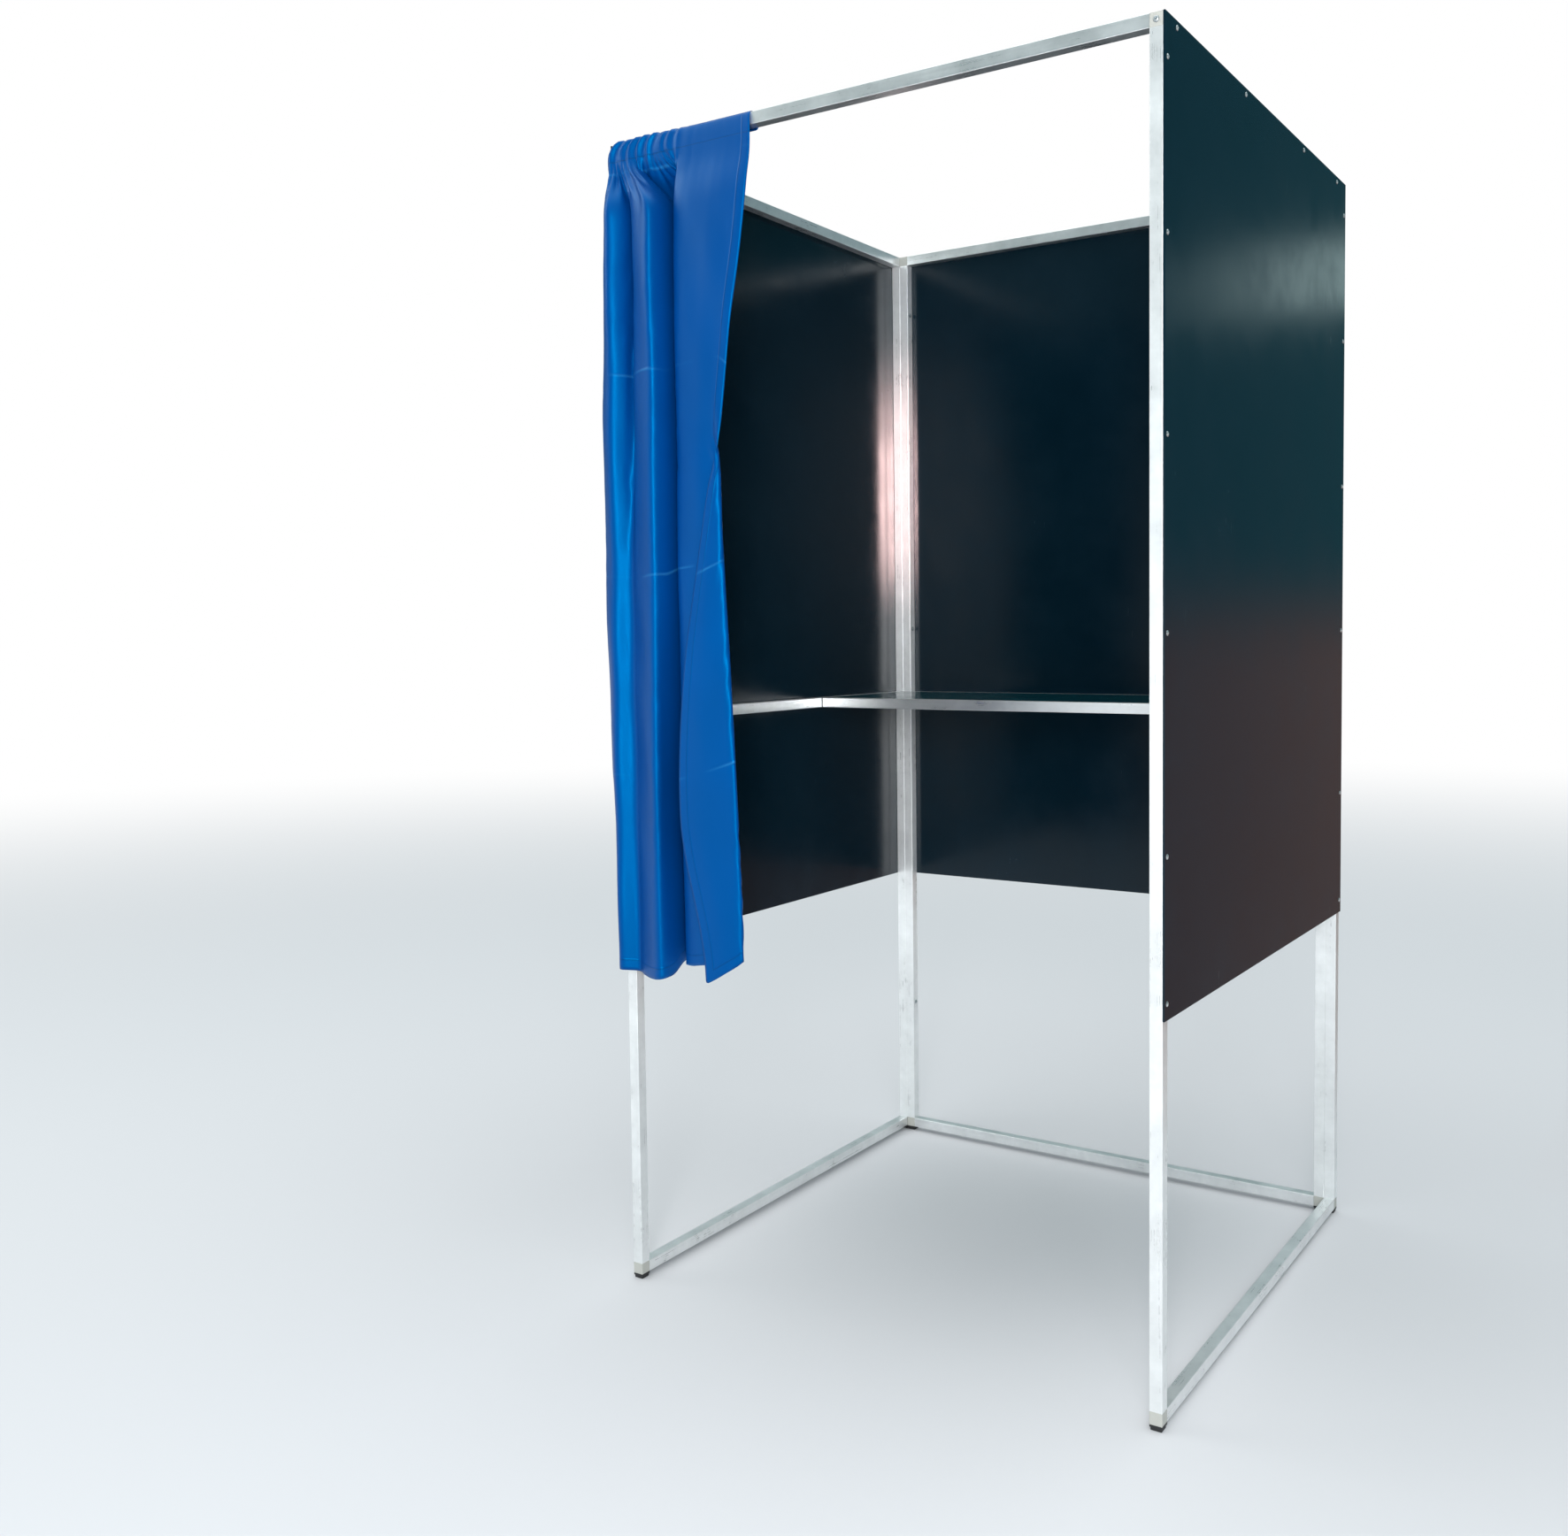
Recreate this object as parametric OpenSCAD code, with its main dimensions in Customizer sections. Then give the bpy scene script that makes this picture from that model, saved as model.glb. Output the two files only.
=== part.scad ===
// Free-standing privacy booth: three panelled tube frames, a writing shelf and a curtain on the front rail.
// Millimetres, +Z up, front towards -Y. The origin is on the floor, at the centre of the outer box.

/* [Booth] */
// Width over the side posts
booth_w = 1000; // [800:10:1300]
// Depth over the posts, front to back
booth_d = 950; // [760:10:1200]
// Height from the floor to the top of the frame
booth_h = 2000; // [1700:10:2400]

/* [Square tube] */
// Side of the square tube
tube = 20; // [18:1:30]
// Wall of the square tube
tube_wall = 1.5; // [1:0.1:2]
// Outer corner radius of the tube and of what sits flush with it
tube_round = 1; // [0.4:0.1:1.4]
// Height of a foot, from the floor to the frame
foot_h = 8; // [5:0.5:14]

/* [Joints in the tube] */
// Length of a connector's spigot inside a tube
spigot_l = 20; // [12:1:22]
// Gap on each side between a spigot or plug and the tube around it
spigot_gap = 0.15; // [0.05:0.05:0.3]
// Thickness of the dark flange on a rail-end plug
flange_t = 2; // [1:0.5:4]
// Radius of the peg on a rail-end plug
peg_r = 4; // [2.5:0.5:5]
// Length of the peg past the flange
peg_l = 6; // [4:0.5:9]
// Gap around a peg, stem, bolt or rivet in its hole
hole_gap = 0.1; // [0.05:0.05:0.2]
// Radius of a foot's stem
stem_r = 3; // [2:0.5:4]
// Length of a foot's stem
stem_l = 12; // [8:1:14]

/* [Panels] */
// Thickness of a wall panel
panel_t = 3; // [2:0.5:6]
// Height of the panels' lower edge above the floor
panel_z = 600; // [300:10:900]
// Radius of a rivet's head
rivet_head_r = 4; // [3:0.5:5.5]
// Height of a rivet's head
rivet_head_h = 1.6; // [1:0.2:2.4]
// Radius of a rivet's body
rivet_r = 2; // [1.4:0.1:2.4]
// Lowest rivet on a post, above the panel's lower edge
rivet_low = 24; // [15:1:60]
// Highest rivet on a post, below the spigot in its top end
rivet_high = 20; // [5:1:80]
// First rivet on a top rail, past the spigot in its front end
rivet_front = 6; // [5:1:50]
// Last rivet on a side top rail, short of the spigot in its rear end
rivet_rear = 22; // [5:1:50]

/* [Bolts] */
// Radius of a bolt's shank
bolt_r = 2.5; // [2:0.5:3]
// Radius of a bolt's button head
bolt_head_r = 4.75; // [4:0.25:6]
// Height of a bolt's button head
bolt_head_h = 2.6; // [2:0.2:3.4]
// Lowest bolt between two rear posts, above the floor
bolt_low = 300; // [100:10:500]
// Highest bolt between two rear posts, below the top of the frame
bolt_high = 130; // [100:10:300]
// Length of a blind rivet nut
nut_l = 11; // [8:0.5:13]

/* [Shelf] */
// Height of the shelf's top face above the floor
shelf_z = 1020; // [800:10:1200]
// Depth of the shelf, from its rail's front face to the rear face of the frame
shelf_d = 353; // [250:1:450]
// Thickness of the shelf board
board_t = 5; // [3:0.5:6]
// Gap around the board's edges
board_gap = 0.5; // [0.2:0.1:1]
// Distance of the outer clips from the board's ends
clip_inset = 160; // [60:5:300]
// Leg length of a shelf clip
clip_leg = 14; // [12:1:16]
// Thickness of a shelf clip
clip_t = 1.5; // [1:0.5:2.5]
// Width of a shelf clip
clip_w = 20; // [14:1:30]

/* [Curtain] */
// Width of the gathered curtain on its rail
gather_w = 280; // [220:5:320]
// Height of the curtain's hem above the floor
hem_z = 556; // [200:2:900]
// Gap between two folds
fold_gap = 3; // [2:0.5:6]
// Thickness of a hanging fold
fold_t = 16; // [10:1:24]
// Thickness of the rod pocket's wall
pocket_t = 3; // [2:0.5:5]
// Gap between the rod pocket and the rail, front and back
pocket_gap = 1.5; // [0.5:0.5:3]
// Gap between the rod pocket and the rail, above it
pocket_seat = 0.3; // [0.2:0.1:0.5]
// Slack under the rail in the rod pocket
pocket_slack = 6; // [2:1:15]

/* [Hidden] */
$fn = 48;
weld = 1;                                         // overlap that joins two shapes of one solid
front_over = pocket_gap + pocket_t - weld + fold_t; // folds in front of the posts
rear_over = panel_t + rivet_head_h;               // panel and rivet heads behind the frame
x_out = booth_w / 2;                              // outer face of the side posts
x_side = x_out - tube / 2;                        // centre line of a side frame
x_back = x_side - tube;                           // centre line of a back-frame post
y_front = front_over - (booth_d + front_over + rear_over) / 2;
y_back = y_front + booth_d;
y_fc = y_front + tube / 2;                        // centre line of the front posts and front rail
y_bc = y_back - tube / 2;                         // centre line of the rear posts
z_base = foot_h + tube / 2;                       // centre line of the base rails
z_top = booth_h - tube / 2;                       // centre line of the top rails
z_mid = shelf_z - tube / 2;                       // centre line of the mid rails and shelf rail
y_shelf = y_back - shelf_d + tube / 2;            // centre line of the shelf rail
bore_side = tube - 2 * tube_wall;                 // clear side inside a tube
spigot_side = bore_side - 2 * spigot_gap;
post_len = z_top - z_base - tube;
side_len = y_bc - y_fc - tube;                    // side rails, post to post
back_len = 2 * x_back - tube;                     // back rails, post to post
front_len = 2 * x_side - tube;                    // curtain rail, corner to corner
post_mid = (z_base + z_top) / 2;
side_mid = (y_fc + y_bc) / 2;

// Rivet rows: shares of the run between the end rivets
post_steps = [0, 0.16, 0.4, 0.61, 0.82, 1];
rail_steps = [0, 0.36, 0.74, 1];
back_steps = [-1, -1 / 3, 1 / 3, 1];
end_clear = tube + spigot_l;                      // from the frame's face to a spigot's tip
rivet_z0 = panel_z + rivet_low;
rivet_z1 = booth_h - end_clear - rivet_high;
rivet_y0 = y_front + end_clear + rivet_front;
rivet_y1 = y_back - end_clear - rivet_rear;
rivet_z = [for (k = post_steps) rivet_z0 + k * (rivet_z1 - rivet_z0)];
rivet_y = [for (k = rail_steps) rivet_y0 + k * (rivet_y1 - rivet_y0)];
rivet_x = [for (k = back_steps) k * (back_len / 2 - spigot_l - rivet_front)];
bolt_steps = [0, 0.55, 1];
bolt_z = [for (k = bolt_steps) bolt_low + k * (booth_h - bolt_high - bolt_low)];

// Shelf clips: [x, face of the rail, direction from the rail to the board]
board_w = booth_w - 2 * tube - 2 * board_gap;
board_y0 = y_shelf + tube / 2 + board_gap;
board_y1 = y_back - tube - board_gap;
clip_x = board_w / 2 - clip_inset;
clips = [for (x = [-clip_x, 0, clip_x]) each [[x, y_shelf + tube / 2, 1], [x, y_back - tube, -1]]];
clip_z = shelf_z - board_t - clip_t - clip_leg / 2;  // rivet height on a clip's upright leg

// Curtain folds: equal pitches on the rail, alternately in front of it and under it
folds = 6;
fold_pitch = gather_w / folds;
curtain_x = -x_out + tube + 1;
fold_front_y = y_front - front_over + fold_t / 2;
post_cover = tube - 2;                            // how far the first fold reaches over the left post

ALUMINIUM = [0.78, 0.79, 0.8];
GREY_PLASTIC = [0.68, 0.69, 0.7];
DARK_PLASTIC = [0.12, 0.12, 0.13];
PANEL_BLACK = [0.04, 0.06, 0.07];
STEEL = [0.72, 0.73, 0.74];
CLOTH_BLUE = [0.0, 0.3, 0.6];

// ---- Shared shapes ----

module rounded_square(side) {
    inner = side - 2 * tube_round;
    square([side, inner], center = true);
    square([inner, side], center = true);
    for (x = [-1, 1], y = [-1, 1]) translate([x, y] * inner / 2) circle(tube_round);
}

// A tube or bar along Z, X or Y, centred on the origin
module along(axis) {
    rotate(axis == "x" ? [0, 90, 0] : axis == "y" ? [90, 0, 0] : [0, 0, 0]) children();
}

module square_tube(length, axis) {
    along(axis) linear_extrude(length, center = true) difference() {
        rounded_square(tube);
        square(bore_side, center = true);
    }
}

module bore(r, length, axis) {
    along(axis) cylinder(h = length, r = r, center = true);
}

// A square bar from the face of a joint's core out along the unit vector d
module spigot(d, length) {
    size = [for (i = [0:2]) d[i] == 0 ? spigot_side : length + 1];
    translate(d * (tube / 2 + (length - 1) / 2)) cube(size, center = true);
}

module joint_core() {
    intersection() {
        for_axis("z");
        for_axis("x");
        for_axis("y");
    }
}

module for_axis(axis) {
    along(axis) linear_extrude(tube, center = true) rounded_square(tube);
}

// Corner connector: a cube flush with the tubes and one spigot along each of a and b
module corner_joint(a, b) {
    joint_core();
    spigot(a, spigot_l);
    spigot(b, spigot_l);
}

// The same connector over a foot, with the hole that takes the foot's stem
module foot_joint(a, b) {
    difference() {
        corner_joint(a, b);
        translate([0, 0, -tube / 2]) cylinder(h = 2 * (stem_l + 1), r = stem_r + hole_gap, center = true);
    }
}

module foot() {
    pad = tube - 3;
    cap = foot_h * 0.4;
    translate([0, 0, foot_h - cap]) linear_extrude(cap) rounded_square(tube);
    translate([-pad / 2, -pad / 2, 0]) cube([pad, pad, foot_h - cap + 0.5]);
    cylinder(h = foot_h + stem_l, r = stem_r);
}

// Rail-end plug with its face flange at the origin, body along -X and peg along +X
module rail_plug() {
    body_l = spigot_l - 2;
    translate([-body_l - flange_t, -spigot_side / 2, -spigot_side / 2])
        cube([body_l + 1, spigot_side, spigot_side]);
    translate([-flange_t / 2, 0, 0]) along("x") linear_extrude(flange_t, center = true) rounded_square(tube);
    translate([-1, 0, 0]) rotate([0, 90, 0]) cylinder(h = peg_l + 1, r = peg_r);
}

// Blind rivet: domed head above Z = 0, body and formed tail below a grip of the given thickness
module rivet(grip) {
    dome_r = (pow(rivet_head_r, 2) + pow(rivet_head_h, 2)) / (2 * rivet_head_h);
    tail_r = rivet_r + 0.7;
    difference() {
        union() {
            intersection() {
                translate([0, 0, rivet_head_h - dome_r]) sphere(dome_r);
                cylinder(h = rivet_head_h, r = rivet_head_r);
            }
            translate([0, 0, -grip - 0.5]) cylinder(h = grip + 1, r = rivet_r);
            translate([0, 0, -grip - 4]) cylinder(h = 3.9, r = tail_r);
        }
        translate([0, 0, rivet_head_h - 0.8]) cylinder(h = 2, r = rivet_r / 2);
    }
}

// Button-head bolt with a hexagon socket: head above Z = 0, shank below
module button_bolt(length) {
    dome_r = (pow(bolt_head_r, 2) + pow(bolt_head_h, 2)) / (2 * bolt_head_h);
    difference() {
        union() {
            intersection() {
                translate([0, 0, bolt_head_h - dome_r]) sphere(dome_r);
                cylinder(h = bolt_head_h, r = bolt_head_r);
            }
            translate([0, 0, -length]) cylinder(h = length + 0.5, r = bolt_r);
        }
        translate([0, 0, bolt_head_h - 1.4]) cylinder(h = 2, r = 1.7, $fn = 6);
    }
}

// ---- Frame tubes ----

rivet_hole_r = rivet_r + hole_gap;
bolt_hole_r = bolt_r + hole_gap;
nut_r = bolt_r + 0.9;

// Post of a side frame: s is -1 on the left and 1 on the right, d points at the rails it carries
module side_post(s, y, d) {
    translate([s * x_side, y, 0]) difference() {
        translate([0, 0, post_mid]) square_tube(post_len, "z");
        for (z = rivet_z) translate([s * tube / 2, 0, z]) bore(rivet_hole_r, 3 * tube_wall, "x");
        translate([0, d * tube / 2, z_mid]) bore(peg_r + hole_gap, 3 * tube_wall, "y");
        if (d < 0)
            for (z = bolt_z) translate([-s * tube / 2, 0, z]) bore(nut_r + hole_gap, 3 * tube_wall, "x");
    }
}

// Post of the back frame, bolted to the side frame's rear post
module back_post(s) {
    translate([s * x_back, y_bc, 0]) difference() {
        translate([0, 0, post_mid]) square_tube(post_len, "z");
        for (z = rivet_z) translate([0, tube / 2, z]) bore(rivet_hole_r, 3 * tube_wall, "y");
        translate([-s * tube / 2, 0, z_mid]) bore(peg_r + hole_gap, 3 * tube_wall, "x");
        for (z = bolt_z) translate([0, 0, z]) bore(bolt_hole_r, 2 * tube, "x");
    }
}

module side_top_rail(s) {
    difference() {
        translate([s * x_side, side_mid, z_top]) square_tube(side_len, "y");
        for (y = rivet_y) translate([s * x_out, y, z_top]) bore(rivet_hole_r, 3 * tube_wall, "x");
    }
}

// Mid rail between two flanged plugs, with the hole for the shelf rail's peg in its inner wall
module side_mid_rail(s) {
    difference() {
        translate([s * x_side, side_mid, z_mid]) square_tube(side_len - 2 * flange_t, "y");
        translate([s * (x_out - tube), y_shelf, z_mid]) bore(peg_r + hole_gap, 3 * tube_wall, "x");
    }
}

module side_base_rail(s) {
    translate([s * x_side, side_mid, z_base]) square_tube(side_len, "y");
}

module left_front_post() { color(ALUMINIUM) side_post(-1, y_fc, 1); }
module left_rear_post() { color(ALUMINIUM) side_post(-1, y_bc, -1); }
module left_top_rail() { color(ALUMINIUM) side_top_rail(-1); }
module left_mid_rail() { color(ALUMINIUM) side_mid_rail(-1); }
module left_base_rail() { color(ALUMINIUM) side_base_rail(-1); }
module right_front_post() { color(ALUMINIUM) side_post(1, y_fc, 1); }
module right_rear_post() { color(ALUMINIUM) side_post(1, y_bc, -1); }
module right_top_rail() { color(ALUMINIUM) side_top_rail(1); }
module right_mid_rail() { color(ALUMINIUM) side_mid_rail(1); }
module right_base_rail() { color(ALUMINIUM) side_base_rail(1); }
module back_left_post() { color(ALUMINIUM) back_post(-1); }
module back_right_post() { color(ALUMINIUM) back_post(1); }

module back_top_rail() {
    color(ALUMINIUM) difference() {
        translate([0, y_bc, z_top]) square_tube(back_len, "x");
        for (x = rivet_x) translate([x, y_back, z_top]) bore(rivet_hole_r, 3 * tube_wall, "y");
    }
}

module back_mid_rail() {
    color(ALUMINIUM) difference() {
        translate([0, y_bc, z_mid]) square_tube(back_len - 2 * flange_t, "x");
        for (c = clips) if (c[2] < 0) translate([c[0], c[1], clip_z]) bore(rivet_hole_r, 3 * tube_wall, "y");
    }
}

module back_base_rail() {
    color(ALUMINIUM) translate([0, y_bc, z_base]) square_tube(back_len, "x");
}

module curtain_rail() {
    color(ALUMINIUM) translate([0, y_fc, z_top]) square_tube(front_len, "x");
}

// ---- Shelf ----

module shelf_rail() {
    color(ALUMINIUM) difference() {
        translate([0, y_shelf, z_mid]) square_tube(front_len - 2 * flange_t, "x");
        for (c = clips) if (c[2] > 0) translate([c[0], c[1], clip_z]) bore(rivet_hole_r, 3 * tube_wall, "y");
    }
}

// Board let in between the rails, its top flush with theirs
module shelf_board() {
    color(PANEL_BLACK) difference() {
        translate([-board_w / 2, board_y0, shelf_z - board_t]) cube([board_w, board_y1 - board_y0, board_t]);
        for (c = clips) translate([c[0], clip_screw_y(c), shelf_z - board_t])
            cylinder(h = 2 * (board_t - 1.5), r = rivet_r - 0.4 + hole_gap, center = true);
    }
}

function clip_screw_y(c) = c[1] + c[2] * (clip_leg * 0.6);

// Angle clip: upright leg on the rail's face, flat leg under the board
module shelf_clips() {
    color(STEEL) for (c = clips) translate([c[0], c[1], shelf_z - board_t]) difference() {
        union() {
            translate([-clip_w / 2, min(0, c[2] * clip_t), -clip_leg]) cube([clip_w, clip_t, clip_leg]);
            translate([-clip_w / 2, min(0, c[2] * clip_leg), -clip_t]) cube([clip_w, clip_leg, clip_t]);
        }
        translate([0, 0, clip_z - shelf_z + board_t]) bore(rivet_hole_r, 4 * clip_t, "y");
        translate([0, clip_screw_y(c) - c[1], 0]) bore(rivet_hole_r, 4 * clip_t, "z");
    }
}

module shelf_clip_rivets() {
    color(ALUMINIUM) for (c = clips) translate([c[0], c[1] + c[2] * clip_t, clip_z])
        rotate([c[2] > 0 ? -90 : 90, 0, 0]) rivet(clip_t + tube_wall);
}

// Pan-head screws from below, through the clips into the board
module shelf_screws() {
    color(STEEL) for (c = clips) translate([c[0], clip_screw_y(c), shelf_z - board_t - clip_t]) {
        translate([0, 0, -rivet_head_h]) cylinder(h = rivet_head_h, r = rivet_r + 1.2);
        translate([0, 0, -1]) cylinder(h = 1 + clip_t + board_t - 2, r = rivet_r - 0.4);
    }
}

// ---- Connectors, plugs and feet ----

module side_corner_joints(s) {
    translate([s * x_side, y_fc, z_base]) foot_joint([0, 0, 1], [0, 1, 0]);
    translate([s * x_side, y_bc, z_base]) foot_joint([0, 0, 1], [0, -1, 0]);
    translate([s * x_side, y_bc, z_top]) corner_joint([0, 0, -1], [0, -1, 0]);
}

module left_corner_joints() { color(GREY_PLASTIC) side_corner_joints(-1); }
module right_corner_joints() { color(GREY_PLASTIC) side_corner_joints(1); }

module back_corner_joints() {
    color(GREY_PLASTIC) for (s = [-1, 1]) translate([s * x_back, y_bc, 0]) {
        translate([0, 0, z_base]) foot_joint([0, 0, 1], [-s, 0, 0]);
        translate([0, 0, z_top]) corner_joint([0, 0, -1], [-s, 0, 0]);
    }
}

// Front top corners: they join a post to the curtain rail and are screwed to the side top rail
module curtain_corner_joints() {
    color(GREY_PLASTIC) for (s = [-1, 1]) translate([s * x_side, y_fc, z_top]) difference() {
        corner_joint([0, 0, -1], [-s, 0, 0]);
        bore(bolt_hole_r, 2 * tube, "y");
    }
}

// Plugs with a screw hole in the front ends of the side top rails
module top_rail_plugs() {
    color(GREY_PLASTIC) for (s = [-1, 1]) translate([s * x_side, y_fc + tube / 2 + spigot_l / 2, z_top])
        difference() {
            cube([spigot_side, spigot_l, spigot_side], center = true);
            bore(bolt_r + 0.05, 2 * spigot_l, "y");
        }
}

module curtain_corner_screws() {
    color(STEEL) for (s = [-1, 1]) translate([s * x_side, y_front, z_top])
        rotate([90, 0, 0]) button_bolt(tube + spigot_l - 4);
}

module side_mid_plugs(s) {
    translate([s * x_side, y_fc + tube / 2, z_mid]) rotate([0, 0, -90]) rail_plug();
    translate([s * x_side, y_bc - tube / 2, z_mid]) rotate([0, 0, 90]) rail_plug();
}

// Two plugs facing outwards at the ends of a rail along X that ends at +-x
module cross_plugs(x, y) {
    for (a = [0, 180]) translate([0, y, z_mid]) rotate([0, 0, a]) translate([x, 0, 0]) rail_plug();
}

module left_mid_plugs() { color(DARK_PLASTIC) side_mid_plugs(-1); }
module right_mid_plugs() { color(DARK_PLASTIC) side_mid_plugs(1); }
module back_mid_plugs() { color(DARK_PLASTIC) cross_plugs(back_len / 2, y_bc); }
module shelf_rail_plugs() { color(DARK_PLASTIC) cross_plugs(front_len / 2, y_shelf); }

module left_feet() { color(DARK_PLASTIC) for (y = [y_fc, y_bc]) translate([-x_side, y, 0]) foot(); }
module right_feet() { color(DARK_PLASTIC) for (y = [y_fc, y_bc]) translate([x_side, y, 0]) foot(); }
module back_feet() { color(DARK_PLASTIC) for (s = [-1, 1]) translate([s * x_back, y_bc, 0]) foot(); }

// ---- Bolts between the doubled rear posts ----

module joining_bolts(s) {
    for (z = bolt_z) translate([s * (x_back - tube / 2), y_bc, z])
        rotate([0, -s * 90, 0]) button_bolt(tube + nut_l - 2);
}

module joining_nuts(s) {
    for (z = bolt_z) translate([s * (x_side - tube / 2), y_bc, z]) rotate([0, s * 90, 0]) difference() {
        union() {
            cylinder(h = nut_l, r = nut_r);
            translate([0, 0, tube_wall + 0.1]) cylinder(h = 3, r = nut_r + 0.8);
        }
        translate([0, 0, -1]) cylinder(h = nut_l + 2, r = bolt_r + 0.05);
    }
}

module left_joining_bolts() { color(STEEL) joining_bolts(-1); }
module right_joining_bolts() { color(STEEL) joining_bolts(1); }
module left_joining_nuts() { color(STEEL) joining_nuts(-1); }
module right_joining_nuts() { color(STEEL) joining_nuts(1); }

// ---- Panels ----

module side_panel(s) {
    difference() {
        translate([s > 0 ? x_out : -x_out - panel_t, y_front, panel_z])
            cube([panel_t, booth_d, booth_h - panel_z]);
        for (y = [y_fc, y_bc], z = rivet_z) translate([s * x_out, y, z])
            bore(rivet_hole_r, 3 * panel_t, "x");
        for (y = rivet_y) translate([s * x_out, y, z_top]) bore(rivet_hole_r, 3 * panel_t, "x");
    }
}

module side_panel_rivets(s) {
    points = concat([for (y = [y_fc, y_bc], z = rivet_z) [y, z]], [for (y = rivet_y) [y, z_top]]);
    for (p = points) translate([s * (x_out + panel_t), p[0], p[1]])
        rotate([0, s * 90, 0]) rivet(panel_t + tube_wall);
}

module left_panel() { color(PANEL_BLACK) side_panel(-1); }
module right_panel() { color(PANEL_BLACK) side_panel(1); }
module left_panel_rivets() { color(ALUMINIUM) side_panel_rivets(-1); }
module right_panel_rivets() { color(ALUMINIUM) side_panel_rivets(1); }

module back_panel() {
    color(PANEL_BLACK) difference() {
        translate([-x_out, y_back, panel_z]) cube([booth_w, panel_t, booth_h - panel_z]);
        for (x = [-x_back, x_back], z = rivet_z) translate([x, y_back, z])
            bore(rivet_hole_r, 3 * panel_t, "y");
        for (x = rivet_x) translate([x, y_back, z_top]) bore(rivet_hole_r, 3 * panel_t, "y");
    }
}

module back_panel_rivets() {
    points = concat([for (x = [-x_back, x_back], z = rivet_z) [x, z]], [for (x = rivet_x) [x, z_top]]);
    color(ALUMINIUM) for (p = points) translate([p[0], y_back + panel_t, p[1]])
        rotate([-90, 0, 0]) rivet(panel_t + tube_wall);
}

// ---- Curtain ----

// Rod pocket around the rail: a square ring with its width along X
module pocket(x0, width) {
    in_y = tube + 2 * pocket_gap;
    in_z = tube + pocket_seat + pocket_slack;
    translate([x0, y_fc - in_y / 2, booth_h + pocket_seat - in_z]) difference() {
        translate([0, -pocket_t, -pocket_t]) cube([width, in_y + 2 * pocket_t, in_z + 2 * pocket_t]);
        translate([-1, 0, 0]) cube([width + 2, in_y, in_z]);
    }
}

// Hanging fold with rounded edges, from the hem up into its rod pocket
module hanging(x0, x1, y, top) {
    r = fold_t / 2;
    translate([0, y, hem_z]) linear_extrude(top - hem_z) {
        translate([x0 + r, -r]) square([x1 - x0 - fold_t, fold_t]);
        for (x = [x0 + r, x1 - r]) translate([x, 0]) circle(r);
    }
}

// Fold i, counted from the left: even ones hang in front of the rail, odd ones under it
module curtain_fold(i) {
    x0 = curtain_x + i * fold_pitch;
    width = fold_pitch - fold_gap;
    pocket_floor = booth_h - tube - pocket_slack;
    pocket(x0, width);
    if (i % 2 == 0) hanging(i == 0 ? x0 - post_cover : x0, x0 + width, fold_front_y, z_top);
    else hanging(x0, x0 + width, y_fc, pocket_floor - weld);
}

module curtain_fold_1() { color(CLOTH_BLUE) curtain_fold(0); }
module curtain_fold_2() { color(CLOTH_BLUE) curtain_fold(1); }
module curtain_fold_3() { color(CLOTH_BLUE) curtain_fold(2); }
module curtain_fold_4() { color(CLOTH_BLUE) curtain_fold(3); }
module curtain_fold_5() { color(CLOTH_BLUE) curtain_fold(4); }
module curtain_lead() { color(CLOTH_BLUE) curtain_fold(folds - 1); }

left_front_post();
left_rear_post();
left_top_rail();
left_mid_rail();
left_base_rail();
right_front_post();
right_rear_post();
right_top_rail();
right_mid_rail();
right_base_rail();
back_left_post();
back_right_post();
back_top_rail();
back_mid_rail();
back_base_rail();
curtain_rail();
shelf_rail();
shelf_board();
shelf_clips();
shelf_clip_rivets();
shelf_screws();
left_corner_joints();
right_corner_joints();
back_corner_joints();
curtain_corner_joints();
left_mid_plugs();
right_mid_plugs();
back_mid_plugs();
shelf_rail_plugs();
top_rail_plugs();
curtain_corner_screws();
left_joining_bolts();
right_joining_bolts();
left_joining_nuts();
right_joining_nuts();
left_feet();
right_feet();
back_feet();
left_panel();
right_panel();
back_panel();
left_panel_rivets();
right_panel_rivets();
back_panel_rivets();
curtain_fold_1();
curtain_fold_2();
curtain_fold_3();
curtain_fold_4();
curtain_fold_5();
curtain_lead();
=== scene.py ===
"""The looks of a polling booth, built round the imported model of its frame, panels and curtain.

Metres throughout: +Z up, +Y towards the back panel, -Y out of the curtained front, +X to the booth's right.
"""

import math

import bmesh
import bpy
from mathutils import Matrix, Vector, noise


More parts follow.
